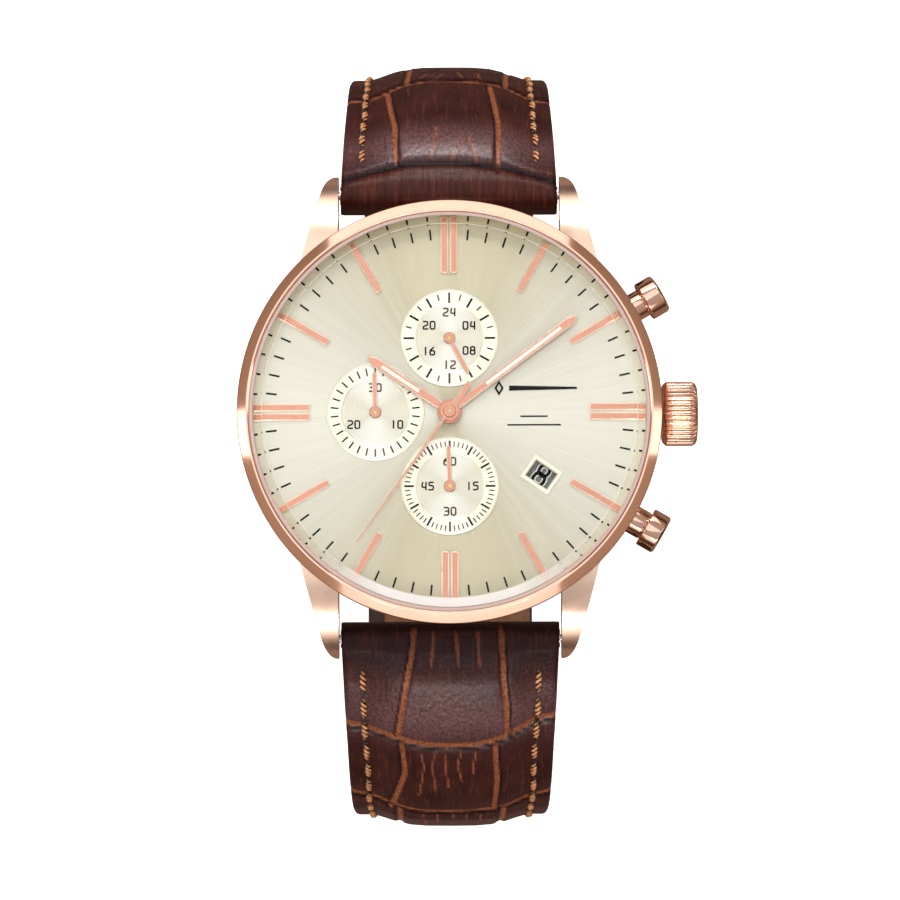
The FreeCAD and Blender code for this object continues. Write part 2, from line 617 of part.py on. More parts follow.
SHORT_LINE = [(20.45, 0.55), (22.6, 0.1), (26.2, -2.0), (30.5, -6.6), (33.5, -12.6), (34.75, -20.0),
              (34.1, -28.5), (31.0, -36.4), (26.5, -42.4), (22.3, -45.7), (18.4, -46.6), (14.0, -46.6),
              (9.0, -46.6), (4.0, -46.6), (1.2, -46.6)]
LONG_LINE = [(20.45, 0.55), (22.6, 0.1), (26.9, -2.0), (31.8, -6.6), (35.35, -12.6), (36.9, -20.0),
             (36.1, -28.5), (32.3, -36.6), (26.5, -42.8), (20.0, -46.0), (14.0, -46.9), (9.0, -47.05),
             (5.0, -47.5), (1.5, -48.4), (-1.5, -48.75), (-6.0, -48.75), (-12.0, -48.75),
             (-18.0, -48.75), (-24.6, -48.75)]
short_line = walk(SHORT_LINE)
long_line = walk(LONG_LINE)
S_END = short_line[-1][0]
L_END = long_line[-1][0]
TAPER = [(0, STRAP_W_LUG), (4, STRAP_W_LUG - 0.3), (12, STRAP_W_LUG - 0.95), (24, STRAP_W_LUG - 1.5),
         (62, STRAP_W_END)]
WIDTHS = TAPER + [(400, STRAP_W_END)]
EDGES = [(0, 1.6), (0.35, 2.5), (0.9, 3.15), (1.8, 3.55), (3.0, 3.3), (5, 2.9), (30, 2.5),
         (58, 2.0), (400, 1.9)]
MIDS = [(0, 1.7), (0.35, 2.65), (0.9, 3.35), (1.8, 3.85), (3.4, 3.95), (5, 4.25), (26, 3.9),
        (56, 2.15), (59, 2.0), (400, 1.9)]
short_stations = [0, 0.35, 0.9, 1.8, 3.2, 5, 8, 12, 17, 24, 33, 40, 47, 54, 60, 66, 72]
short_stations = short_stations + [S_END - 1.0, S_END]
strap_12 = strap(short_line, short_stations, WIDTHS, EDGES, MIDS)
tip = [(L_END - 6, 18.0), (L_END - 4, 17.4), (L_END - 2, 15.2), (L_END - 0.8, 12.0), (L_END, 7.5)]
LONG_W = TAPER + tip
long_stations = [0, 0.35, 0.9, 1.8, 3.2, 5, 8, 12, 17, 24, 33, 40, 47, 54, 60, 65, 69, 73, 77, 81,
                 85, 90, 95]
long_stations = long_stations + [point[0] for point in tip]
strap_6 = strap(long_line, long_stations, LONG_W, EDGES, MIDS)
strap_12 = strap_12.cut(rod(0.95, -14, 14, BAR_Y, BAR_Z))
strap_12 = strap_12.cut(rod(0.72, -14, 14, PIVOT_Y, PIVOT_Z))
strap_12 = strap_12.cut(Part.makeBox(2.6, 4.6, 5, V(-1.3, 0, -50)))
save("strap_12", strap_12)

strap_6 = strap_6.cut(rod(0.95, -14, 14, BAR_Y, BAR_Z))
HOLE_S = 0.0
for s, y, z in long_line:
    if y <= 3.0 and HOLE_S == 0.0:
        HOLE_S = s
for k in range(-3, 4):
    y, z, ty, tz = place(long_line, HOLE_S + k * HOLE_PITCH)
    slot = Part.makeBox(2 * HOLE_R, 2 * HOLE_HALF, 6, V(-HOLE_R, -HOLE_HALF, -3))
    slot = slot.fuse(Part.makeCylinder(HOLE_R, 6, V(0, HOLE_HALF, -3)))
    slot = slot.fuse(Part.makeCylinder(HOLE_R, 6, V(0, -HOLE_HALF, -3)))
    slot.rotate(V(0, 0, 0), V(1, 0, 0), math.degrees(math.atan2(-tz, -ty)))
    slot.translate(V(0, y - tz * 1.0, z + ty * 1.0))
    strap_6 = strap_6.cut(slot)
strap_6 = strap_6.mirror(V(0, 0, 0), V(0, 1, 0))
save("strap_6", strap_6)

for name, y0 in (("fixed_keeper", 5.2), ("free_keeper", 12.5)):
    outer = Part.makeBox(2 * KEEPER_HALF_W, KEEPER_W, KEEPER_H, V(-KEEPER_HALF_W, y0, KEEPER_Z0))
    outer = outer.makeFillet(1.0, [e for e in outer.Edges
                                   if abs(e.Vertexes[0].Y - e.Vertexes[1].Y) > 3])
    inner = Part.makeBox(2 * (KEEPER_HALF_W - 1.05), 2 * KEEPER_W, KEEPER_H - KEEPER_T - 1.0,
                         V(1.05 - KEEPER_HALF_W, y0 - 2, KEEPER_Z0 + KEEPER_T))
    save(name, outer.cut(inner))

for name, sy in (("lug_bar_12", 1), ("lug_bar_6", -1)):
    bar = rod(BAR_R, -10.9, 10.9, sy * BAR_Y, BAR_Z)
    bar = bar.fuse(rod(0.4, -12.0, 12.0, sy * BAR_Y, BAR_Z))
    save(name, bar)

# ---- buckle -------------------------------------------------------------------
outline = Part.makeBox(2 * BUCKLE_HALF_W, BUCKLE_L, BUCKLE_T,
                       V(-BUCKLE_HALF_W, 0.9 - BUCKLE_L, -BUCKLE_T / 2))
outline = outline.makeFillet(2.6, [e for e in outline.Edges
                                   if abs(e.Vertexes[0].Z - e.Vertexes[1].Z) > 1
                                   and e.Vertexes[0].Y < -5])
window = Part.makeBox(18.7, 12.0, 3, V(-9.35, -9.3, -1.5))
buckle = outline.cut(window)
for sx in (-1, 1):
    buckle = buckle.fuse(rod(1.15, sx * 10.4 - 1.05, sx * 10.4 + 1.05, 0, 0))
buckle = buckle.cut(rod(0.5, -11.2, 11.2, 0, 0))
buckle.rotate(V(0, 0, 0), V(1, 0, 0), BUCKLE_TILT)
buckle.translate(V(0, PIVOT_Y, PIVOT_Z))
save("buckle_frame", buckle)
bar = rod(BUCKLE_BAR_R, -9.3, 9.3, PIVOT_Y, PIVOT_Z)
save("buckle_bar", bar.fuse(rod(0.45, -11.1, 11.1, PIVOT_Y, PIVOT_Z)))
tang = side([
    (2.6, -46.75), (0.2, -46.95), (-2.3, -47.0), (-4.9, -50.2), (-6.4, -50.9), (-8.9, -51.33),
    (-9.7, -51.45), (-9.9, -51.7), (-9.4, -52.0), (-6.2, -51.8), (-4.3, -51.1), (-1.9, -48.0),
    (0.2, -48.1), (2.2, -48.3),
], -TANG_HALF_W, TANG_HALF_W)
tang = tang.fuse(rod(1.05, -TANG_HALF_W, TANG_HALF_W, PIVOT_Y, PIVOT_Z))
tang = tang.cut(rod(0.75, -2, 2, PIVOT_Y, PIVOT_Z))
save("tang", tang)
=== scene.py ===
"""Looks of the chronograph wristwatch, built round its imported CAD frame. Lengths are in mm."""
import math
import bpy
import numpy as np
from mathutils import Matrix, Vector


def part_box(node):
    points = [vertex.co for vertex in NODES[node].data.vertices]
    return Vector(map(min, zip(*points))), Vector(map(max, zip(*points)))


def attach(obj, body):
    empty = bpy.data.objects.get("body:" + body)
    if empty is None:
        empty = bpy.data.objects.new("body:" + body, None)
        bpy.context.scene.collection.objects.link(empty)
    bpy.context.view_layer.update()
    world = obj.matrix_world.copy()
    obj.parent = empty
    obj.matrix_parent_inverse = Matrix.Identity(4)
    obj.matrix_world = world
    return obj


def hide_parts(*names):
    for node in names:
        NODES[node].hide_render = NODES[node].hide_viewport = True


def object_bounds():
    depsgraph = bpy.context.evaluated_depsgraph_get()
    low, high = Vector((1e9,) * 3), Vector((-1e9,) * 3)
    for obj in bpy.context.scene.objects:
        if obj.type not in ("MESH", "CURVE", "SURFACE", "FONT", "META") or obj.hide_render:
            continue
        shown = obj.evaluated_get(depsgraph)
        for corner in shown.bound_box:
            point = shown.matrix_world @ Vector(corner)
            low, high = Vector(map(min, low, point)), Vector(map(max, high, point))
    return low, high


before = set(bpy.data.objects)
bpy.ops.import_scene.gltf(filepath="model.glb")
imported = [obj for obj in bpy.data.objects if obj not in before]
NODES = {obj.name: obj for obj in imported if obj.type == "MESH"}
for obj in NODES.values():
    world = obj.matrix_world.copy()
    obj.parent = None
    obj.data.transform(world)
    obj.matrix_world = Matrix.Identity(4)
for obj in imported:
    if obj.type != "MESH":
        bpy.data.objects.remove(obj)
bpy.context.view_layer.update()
MM = 0.001

# ---- sizes shared with the CAD part
DIAL_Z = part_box("dial")[1].z / MM
BEZEL_R = 21.0
BEZEL_BORE_R = 19.8
CRYSTAL_R = 19.38
SUB_C = 7.35  # sub-dial centre distance, radius and face height
SUB_R = 4.86
SUB_Z = 6.26
SEAT_Z = 6.2  # what is applied to the dial stands at this height
MARK_Z = 6.5
SMALL_HAND_Z = 6.44
HOUR_HAND_Z = 6.70
MINUTE_HAND_Z = 7.02
SWEEP_HAND_Z = 7.32
DATE_R = 11.0  # date opening: centre, direction, size
DATE_DEG = 124.6
DATE_HALF_W = 0.9
DATE_HALF_L = 1.225
DAYS = 31
STEM_Z = 3.6
CROWN_R = 3.2
PUSH_DEG = 30
PUSH_R = 2.0
BAR_Y = 22.2  # lug bars
BAR_Z = 2.0
BAR_BORE_R = 0.95
PIVOT = (2.2, -47.6)  # buckle bar
PIVOT_BORE_R = 0.72
FLOOR_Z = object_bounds()[0].z


# ---- mesh helpers
def make(name, verts, faces, body, mats, replaces=(), sharp=35, mat_index=None, origin=(0, 0)):
    """A mesh piece from millimetre points, riding on a CAD body."""
    mesh = bpy.data.meshes.new(name)
    mesh.from_pydata([tuple(c * MM for c in v) for v in verts], [], faces)
    for m in mats if isinstance(mats, (list, tuple)) else [mats]:
        mesh.materials.append(m)
    if mat_index is not None:
        mesh.polygons.foreach_set("material_index", mat_index)
    mesh.polygons.foreach_set("use_smooth", [True] * len(mesh.polygons))
    mesh.validate()
    if sharp:
        mesh.set_sharp_from_angle(angle=math.radians(sharp))
    mesh.update()
    obj = bpy.data.objects.new(name, mesh)
    link(obj)
    obj.location = (origin[0] * MM, origin[1] * MM, 0)
    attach(obj, body)
    if replaces:
        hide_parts(*replaces)
    return obj


def link(obj):
    bpy.context.scene.collection.objects.link(obj)


class Shape:
    """Collects points and faces, each face with a material index."""

    def __init__(self):
        self.verts = []
        self.faces = []
        self.mats = []

    def add(self, verts, faces, mat=0):
        base = len(self.verts)
        self.verts += [tuple(v) for v in verts]
        self.faces += [tuple(base + i for i in f) for f in faces]
        self.mats += [mat] * len(faces)

    def moved(self, matrix):
        self.verts = [tuple(matrix @ Vector(v)) for v in self.verts]
        return self

    def make(self, name, body, slot, mats, replaces=(), sharp=35, origin=(0, 0)):
        return make(name, self.verts, self.faces, body, mats, replaces, sharp, self.mats, origin)


def wall(rows, around, joined=False, flip=False):
    """Quads from each ring of points to the next. With joined, the last ring meets the first."""
    faces = []
    for r in range(rows if joined else rows - 1):
        a = r * around
        b = (r + 1) % rows * around
        for k in range(around):
            m = (k + 1) % around
            faces.append((a + k, a + m, b + m, b + k))
    return [tuple(reversed(f)) for f in faces] if flip else faces


def prism(rows, around):
    """The faces of a closed body with flat ends."""
    ends = [tuple(reversed(range(around))), tuple(range((rows - 1) * around, rows * around))]
    return wall(rows, around) + ends


def upright(half, low, high):
    """A rectangle about the line x = 0."""
    return [(-half, low), (half, low), (half, high), (-half, high)]


def circle(r, n, x=0.0, y=0.0):
    turn = 2 * math.pi / n
    return [(x + r * math.cos(turn * k), y + r * math.sin(turn * k)) for k in range(n)]


def filleted(points, radius, steps=4, closed=True):
    """The outline with each corner rounded."""
    out = []
    n = len(points)
    for i, p in enumerate(points):
        if not closed and i in (0, n - 1):
            out.append(tuple(p))
            continue
        a = Vector(points[i - 1])
        b = Vector(p)
        c = Vector(points[(i + 1) % n])
        r = min(radius, (a - b).length * 0.45, (c - b).length * 0.45)
        p0 = b + (a - b).normalized() * r
        p1 = b + (c - b).normalized() * r
        for k in range(steps + 1):
            t = k / steps
            out.append(tuple(p0 * (1 - t) ** 2 + b * 2 * t * (1 - t) + p1 * t * t))
    return out


def lathe(profile, segments=192, closed=True, mat=0, shape=None, mat_of=None):
    """Turns (radius, z) points about Z. mat_of gives the material from the middle radius and z."""
    shape = shape or Shape()
    base = len(shape.mats)
    verts = [(x, y, z) for r, z in profile for x, y in circle(r, segments)]
    shape.add(verts, wall(len(profile), segments, closed), mat)
    if mat_of:
        pairs = zip(profile, profile[1:] + profile[:1])
        bands = [mat_of((a[0] + b[0]) / 2, (a[1] + b[1]) / 2) for a, b in pairs]
        shape.mats[base:] = [bands[i // segments] for i in range(len(shape.mats) - base)]
    return shape


def to_x_axis(shape):
    """Turns a shape made about Z into one about the crown's axis."""
    turn = Matrix.Rotation(math.radians(90), 4, "Y")
    return shape.moved(Matrix.Translation((0, 0, STEM_Z)) @ turn)


def clockwise(shape, deg, x=0.0, y=0.0):
    move = Matrix.Translation((x, y, 0)) @ Matrix.Rotation(math.radians(-deg), 4, "Z")
    return shape.moved(move)


def at_deg(r, deg):
    a = math.radians(deg)
    return r * math.sin(a), r * math.cos(a)


def mitre(before, after, least):
    """Offset to the left of a corner between two unit directions, for a width of 1."""
    mid = Vector((-before.y - after.y, before.x + after.x))
    return mid / max(mid.length_squared / 2, least)


def slab(outline, z0, z1, chamfer=0.0, shape=None, mat=0):
    """An outline given anticlockwise, raised from z0 to z1, with a sloped top edge."""
    shape = shape or Shape()
    n = len(outline)
    inner = outline
    if chamfer:
        inner = []
        for i, p in enumerate(outline):
            a = Vector(p) - Vector(outline[i - 1])
            b = Vector(outline[(i + 1) % n]) - Vector(p)
            inner.append(tuple(Vector(p) + mitre(a.normalized(), b.normalized(), 0.5) * chamfer))
    low = [(x, y, z0) for x, y in outline]
    shoulder = [(x, y, z1 - chamfer * 0.7) for x, y in outline]
    top = [(x, y, z1) for x, y in inner]
    rows = [low, shoulder, top] if chamfer else [low, top]
    shape.add([v for row in rows for v in row], prism(len(rows), n), mat)
    return shape


# ---- material helpers
class Nodes:
    """Short ways to add nodes to a tree."""

    def __init__(self, tree):
        self.tree = tree

    def node(self, kind, props=None, **inputs):
        node = self.tree.nodes.new("ShaderNode" + kind)
        for key, value in (props or {}).items():
            setattr(node, key, value)
        for key, value in inputs.items():
            self.put(node.inputs[int(key[1:])] if key[0] == "i" and key[1:].isdigit()
                     else node.inputs[key.replace("_", " ")], value)
        return node

    def put(self, socket, value):
        if isinstance(value, bpy.types.NodeSocket):
            self.tree.links.new(value, socket)
        else:
            socket.default_value = value

    def coords(self):
        return self.node("TexCoord").outputs["Object"]

    def noise(self, scale, vector=None, detail=4.0, rough=0.55):
        node = self.node("TexNoise", Scale=scale, Detail=detail, Roughness=rough)
        self.put(node.inputs["Vector"], vector or self.coords())
        return node.outputs["Fac"]

    def math(self, operation, a, b=0.0, c=0.0, clamp=False):
        node = self.node("Math", {"operation": operation, "use_clamp": clamp})
        for socket, value in zip(node.inputs, (a, b, c)):
            self.put(socket, value)
        return node.outputs[0]

    def span(self, value, low, high, to_low, to_high):
        node = self.node("MapRange", {"clamp": True})
        for socket, item in zip(node.inputs, (value, low, high, to_low, to_high)):
            self.put(socket, item)
        return node.outputs[0]

    def ramp(self, value, stops):
        node = self.node("ValToRGB")
        ramp = node.color_ramp
        while len(ramp.elements) < len(stops):
            ramp.elements.new(0.5)
        for element, (place, color) in zip(ramp.elements, stops):
            element.position = place
            element.color = (*color, 1)
        self.put(node.inputs[0], value)
        return node.outputs[0]

    def mix(self, factor, a, b):
        node = self.node("MixRGB")
        for socket, value in zip(node.inputs, (factor, a, b)):
            if isinstance(value, tuple) and len(value) == 3:
                value = (*value, 1)
            self.put(socket, value)
        return node.outputs[0]

    def blend(self, value, low, high, a, b):
        """Goes from colour a to b as the value goes from low to high."""
        return self.mix(self.span(value, low, high, 0, 1), a, b)

    def times(self, a, b):
        return self.math("MULTIPLY", a, b)

    def attribute(self, name):
        return self.node("Attribute", {"attribute_name": name}).outputs["Fac"]


class Mat(Nodes):
    """A material with one Principled shader."""

    def __init__(self, name, color, **inputs):
        self.mat = bpy.data.materials.new(name)
        self.mat.use_nodes = True
        super().__init__(self.mat.node_tree)
        self.bsdf = self.tree.nodes["Principled BSDF"]
        self.bsdf.inputs["Base Color"].default_value = (*color, 1)
        for key, value in inputs.items():
            self.bsdf.inputs[key.replace("_", " ")].default_value = value

    def bump(self, height, distance, strength=1.0):
        node = self.node("Bump", Strength=strength, Distance=distance, Height=height)
        self.tree.links.new(node.outputs[0], self.bsdf.inputs["Normal"])
        return node

    def to(self, socket, value):
        self.put(self.bsdf.inputs[socket], value)

    def shaded(self, share, first, second):
        """Mixes two shader nodes and sends the result to the surface."""
        both = self.node("MixShader", i0=share, i1=first.outputs[0], i2=second.outputs[0])
        self.tree.links.new(both.outputs[0], self.tree.nodes["Material Output"].inputs["Surface"])
        return both

    def lets_light_in(self, surface, tint):
        """Shadow and diffuse rays pass straight through, so the dial under the glass is lit."""
        clear = self.node("BsdfTransparent", Color=(*tint, 1))
        path = self.node("LightPath")
        pick = self.math("MAXIMUM", path.outputs["Is Shadow Ray"], path.outputs["Is Diffuse Ray"])
        self.shaded(pick, surface, clear)

    def turned_finish(self):
        """Highlights run as on metal brushed round the object's Z axis."""
        tangent = self.node("Tangent", {"direction_type": "RADIAL", "axis": "Z"})
        self.to("Tangent", tangent.outputs[0])

    def polar(self):
        """Angle and radius about the object's Z axis."""
        split = self.node("SeparateXYZ", Vector=self.coords())
        x, y = split.outputs[0], split.outputs[1]
        angle = self.math("ARCTAN2", y, x)
        square = self.math("ADD", self.times(x, x), self.times(y, y))
        return angle, self.math("SQRT", square)


def polished_gold(name, color, rough=0.09, metallic=1.0):
    m = Mat(name, color, Metallic=metallic, Roughness=rough)
    haze = m.noise(180, detail=3)
    m.to("Roughness", m.span(haze, 0.3, 0.75, rough * 0.75, rough * 1.5))
    warm = m.noise(60, detail=2)
    deep = tuple(c * 0.93 for c in color)
    m.to("Base Color", m.blend(warm, 0.35, 0.7, color, deep))
    m.bump(m.noise(2600, detail=2), 0.000002, 0.25)
    return m.mat


def mottled(m, noise, low, high, color, deep, grain, strength):
    """Darkens and roughens a finish with one noise."""
    m.to("Base Color", m.blend(noise, low, high, color, tuple(c * deep for c in color)))
    m.bump(noise, grain, strength)
    return m.mat


def plain_metal(name, color, rough, grain=0.00001, scale=1400, stretch=(1, 1, 1)):
    m = Mat(name, color, Metallic=1.0, Roughness=rough)
    mapping = m.node("Mapping", Vector=m.coords(), Scale=stretch)
    lines = m.noise(scale, mapping.outputs[0], detail=3)
    m.to("Roughness", m.span(lines, 0.3, 0.7, rough * 0.8, rough * 1.25))
    return mottled(m, lines, 0.3, 0.7, color, 0.85, grain, 0.4)


def plastic(name, color, rough, grain=0.00002, scale=900, shine=0.5):
    m = Mat(name, color, Roughness=rough, Specular_IOR_Level=shine)
    return mottled(m, m.noise(scale, detail=3), 0.35, 0.7, color, 0.86, grain, 0.3)


GOLD = polished_gold("rose_gold_polished", (0.93, 0.60, 0.46))
HAND_GOLD = polished_gold("rose_gold_hands", (0.71, 0.34, 0.25), 0.22)
# painted highlight for the sloped facets: lighter, less metallic gold
HAND_HIGHLIGHT = polished_gold("rose_gold_facet_highlight", (1.0, 0.80, 0.70), 0.3, 0.35)
CASE_GOLD = polished_gold("rose_gold_case", (0.98, 0.69, 0.54), 0.23)
# painted shade: the pin end in each hand's bore
SHADED_PIN = polished_gold("rose_gold_pin_shaded", (0.30, 0.085, 0.055), 0.3)
STEEL = plain_metal("fine_steel", (0.62, 0.62, 0.63), 0.3, stretch=(1, 14, 1))
BRASS = plain_metal("gilt_brass", (0.76, 0.60, 0.30), 0.28)
NICKEL = plain_metal("battery_nickel", (0.72, 0.72, 0.73), 0.3)
COPPER = plain_metal("copper_winding", (0.72, 0.30, 0.12), 0.35, 0.00006, 500, (1, 1, 12))
BOARD = plastic("board_green", (0.03, 0.16, 0.07), 0.45)
HOLDER = plastic("holder_plastic", (0.78, 0.78, 0.74), 0.5)
RUBBER = plastic("black_rubber", (0.02, 0.02, 0.02), 0.6)
PRINT = plastic("black_print", (0.004, 0.004, 0.004), 0.9, 0.000004, 3000, 0.1)
# brown: the black print lightened by a painted sheen
SHEEN_PRINT = plastic("print_with_painted_sheen", (0.09, 0.05, 0.028), 0.9, 0.000004, 3000, 0.1)
LUME = plastic("white_lume", (0.98, 0.98, 0.97), 0.6, 0.000006, 3000)
DATE_GREY = plastic("date_grey", (0.17, 0.18, 0.19), 0.5, 0.000004, 2500)


def sunburst():
    m = Mat("sunburst_cream", (0.72, 0.66, 0.46), Metallic=0.72, Roughness=0.36,
            Anisotropic=0.72, Anisotropic_Rotation=0.25, Coat_Weight=0.1, Coat_Roughness=0.2)
    angle, radius = m.polar()
    ray = m.node("CombineXYZ", X=m.times(angle, 90.0), Y=m.times(radius, 60.0))
    rays = m.noise(1.0, ray.outputs[0], detail=5, rough=0.7)
    wide = m.node("CombineXYZ", X=m.times(angle, 14.0))
    soft = m.noise(1.0, wide.outputs[0], detail=2)
    # painted sheen: pale toward 3 and 9 o'clock, tan toward 12 and 6, where the brushing catches the light
    pale = m.blend(rays, 0.3, 0.7, (0.78, 0.755, 0.69), (0.87, 0.85, 0.785))
    tan = m.blend(rays, 0.3, 0.7, (0.475, 0.425, 0.315), (0.55, 0.50, 0.385))
    side = m.math("ABSOLUTE", m.math("COSINE", angle))
    side = m.math("ADD", side, m.times(m.math("SUBTRACT", soft, 0.5), 0.25))
    m.to("Base Color", m.blend(side, 0.35, 1.0, tan, pale))
    m.turned_finish()
    m.bump(rays, 0.000006, 0.35)
    return m.mat


def azure(name, inner):
    """Silver sub-dial lacquer with a painted sheen, white toward 12 and 6 o'clock. The inner one has fine
    concentric cuts.
    """
    m = Mat(name, (0.80, 0.79, 0.74), Metallic=0.75, Roughness=0.34, Anisotropic=0.6,
            Coat_Weight=0.15, Coat_Roughness=0.15)
    angle, radius = m.polar()
    rings = m.math("SINE", m.times(radius, 2 * math.pi / (0.0002 if inner else 0.0004)))
    # painted sheen: white toward 12 and 6 o'clock, grey toward 3 and 9
    side = m.math("ABSOLUTE", m.math("SINE", angle))
    low = 0.5 if inner else 0.6
    white = (1.0, 0.99, 0.96) if inner else (1.0, 0.98, 0.92)
    grey = (0.74, 0.705, 0.62) if inner else (0.90, 0.86, 0.74)
    color = m.mix(m.span(side, low, 1.0, 0, 1), grey, white)
    line = m.span(rings, -1, 1, 0, 0.28 if inner else 0.02)
    m.to("Base Color", m.mix(line, color, (0.45, 0.42, 0.35)))
    m.turned_finish()
    m.bump(rings, 0.000006 if inner else 0.000001, 0.5)
    return m.mat


def glass():
    m = Mat("crystal_glass", (1, 1, 1))
    m.tree.nodes.remove(m.bsdf)
    lens = m.node("BsdfRefraction", Color=(0.985, 0.99, 0.975, 1), Roughness=0.0, IOR=1.46)
    shine = m.node("BsdfGlossy", Color=(1, 1, 1, 1), Roughness=0.02)
    fresnel = m.node("Fresnel", IOR=1.18)
    m.lets_light_in(m.shaded(fresnel.outputs[0], lens, shine), (0.97, 0.98, 0.96))
    return m.mat


def glass_bevel():
    """The ground edge of the crystal: olive where it looks down on the dial, with a painted white reflection
    toward 6 o'clock.
    """
    m = Mat("crystal_bevel", (1, 1, 1), Roughness=0.35)
    angle = m.polar()[0]
    low = m.times(m.math("SINE", angle), -1.0)
    drift = m.times(m.math("SUBTRACT", m.noise(180), 0.5), 0.12)
    # painted reflection: white mixed in toward 6 o'clock
    white = m.span(m.math("ADD", low, drift), 0.70, 0.93, 0.0, 0.82)
    tint = m.blend(low, -1.0, 0.6, (0.90, 0.88, 0.79), (0.93, 0.915, 0.84))
    lens = m.node("BsdfRefraction", Color=tint, Roughness=0.0, IOR=1.3)
    m.lets_light_in(m.shaded(white, lens, m.bsdf), (0.9, 0.9, 0.85))
    return m.mat


# painted highlight: a pale, half-clear line where the bevel meets the top of the crystal
def glass_edge_glint():
    m = Mat("crystal_edge_glint", (0.97, 0.96, 0.92), Roughness=0.3)
    m.to("Base Color", m.mix(m.noise(300), (0.98, 0.97, 0.93), (0.88, 0.86, 0.80)))
    m.shaded(0.55, m.node("BsdfTransparent"), m.bsdf)
    return m.mat


def gasket():
    m = Mat("rose_nylon", (0.62, 0.47, 0.43), Roughness=0.32)
    m.to("Base Color", m.mix(m.noise(700), (0.66, 0.50, 0.46), (0.52, 0.40, 0.38)))
    m.bump(m.noise(1500), 0.00001, 0.3)
    return m.mat


SUNBURST = sunburst()
SILVER = azure("silver_track", False)
AZURE = azure("silver_azure", True)
GLASS = glass()
GLASS_BEVEL = glass_bevel()
GLASS_GLINT = glass_edge_glint()
GASKET = gasket()


def leather():
    """Glossy crocodile-stamped hide: deep red-brown, paler folds. A painted sheen where it bends; painted shade
    in seams, beside folds, on the lug-end roll and by the case.
    """
    m = Mat("croc_leather", (0.05, 0.017, 0.013), Coat_Roughness=0.27, Coat_IOR=1.62,
            Specular_IOR_Level=0.1)
    along = m.node("Attribute", {"attribute_name": "along"}).outputs["Vector"]
    cloud = m.noise(260, along, 4)
    fine = m.noise(3200, along, 3, 0.7)
    stretch = m.node("Mapping", Vector=along, Scale=(0.22, 1.7, 1.0))
    streak = m.noise(1500, stretch.outputs[0], 4, 0.7)
    gloss_and_painted_sheen = m.attribute("gloss_and_painted_sheen")
    body = m.blend(cloud, 0.3, 0.7, (0.026, 0.0058, 0.005), (0.064, 0.0155, 0.0135))
    body = m.mix(m.span(streak, 0.54, 0.72, 0, 0.7), body, (0.17, 0.048, 0.024))
    # painted sheen: pale pink mixed into the colour where the strap bends
    body = m.mix(m.times(gloss_and_painted_sheen, m.span(fine, 0.35, 0.6, 0.12, 0.62)), body, (0.27, 0.135, 0.15))
    body = m.mix(m.span(fine, 0.62, 0.8, 0, 0.45), body, (0.15, 0.065, 0.055))
    fold = m.blend(fine, 0.35, 0.65, (0.17, 0.045, 0.018), (0.46, 0.155, 0.07))
    color = m.blend(m.attribute("crease"), 0.12, 0.75, body, fold)
    # painted shade on the lug-end roll: a deeper, saturated red-brown in place of the lit top
    painted_roll_shade = m.blend(streak, 0.4, 0.7, (0.045, 0.009, 0.006), (0.15, 0.036, 0.018))
    color = m.mix(m.attribute("roll"), color, painted_roll_shade)
    # painted shade: near-black mixed in along seams, just past each fold and at the 6 o'clock end by the case
    color = m.mix(m.attribute("painted_shade"), color, (0.004, 0.003, 0.006))
    m.to("Base Color", color)
    m.to("Roughness", m.span(fine, 0.3, 0.7, 0.42, 0.6))
    unshaded = m.math("SUBTRACT", 1.0, m.attribute("painted_shade"), clamp=True)
    m.to("Coat Weight", m.times(unshaded, m.span(gloss_and_painted_sheen, 0.0, 1.0, 0.1, 1.0)))
    cells = m.node("TexVoronoi", Vector=along, Scale=2300.0)
    height = m.math("ADD", m.times(fine, 0.8), m.times(cells.outputs["Distance"], 0.5))
    pores = m.bump(height, 0.00007, 0.8)
    m.to("Coat Normal", pores.outputs[0])
    return m.mat


def rough_hide(name, color, scale=1200):
    m = Mat(name, color, Roughness=0.62)
    return mottled(m, m.noise(scale, detail=5, rough=0.7), 0.3, 0.7, color, 0.55, 0.00005, 0.5)


def thread():
    m = Mat("twisted_thread", (0.62, 0.27, 0.10), Roughness=0.38, Coat_Weight=0.5, Coat_Roughness=0.2)
    lines = m.noise(4200, detail=3, rough=0.7)
    wide = m.noise(700, detail=3)
    pale = m.blend(lines, 0.35, 0.65, (0.50, 0.165, 0.05), (1.0, 0.52, 0.24))
    pale = m.mix(m.span(wide, 0.5, 0.7, 0, 0.5), pale, (0.30, 0.10, 0.04))
    # painted shade on the thread: near-black on the low side of each strand and at its ends
    m.to("Base Color", m.blend(m.attribute("painted_strand_light"), 0.42, 0.8, (0.016, 0.005, 0.003), pale))
    m.bump(lines, 0.00004, 0.6)
    return m.mat


LEATHER = leather()
EDGE_PAINT = rough_hide("edge_paint", (0.045, 0.015, 0.011), 900)
LINING = rough_hide("lining_hide", (0.30, 0.13, 0.06), 1600)
THREAD = thread()


# ---- carried-over CAD nodes get their finish
FINISH = {
    "case_middle": CASE_GOLD, "dial": SUNBURST, "dial_emblem": PRINT, "movement_ring": HOLDER,
    "circuit_board": BOARD, "battery": NICKEL, "coil_time": COPPER, "coil_chrono": COPPER,
    "date_ring": DATE_GREY, "case_back_gasket": RUBBER, "crown_gasket": RUBBER, "tang": GOLD,
    "buckle_frame": GOLD,
}
BRASS_WORDS = ("wheel", "arbor", "idler", "cannon", "plate", "bridge")
for node_name, obj in NODES.items():
    plain = BRASS if any(word in node_name for word in BRASS_WORDS) else STEEL
    finish = FINISH.get(node_name, plain)
    obj.data.materials.clear()
    obj.data.materials.append(finish)


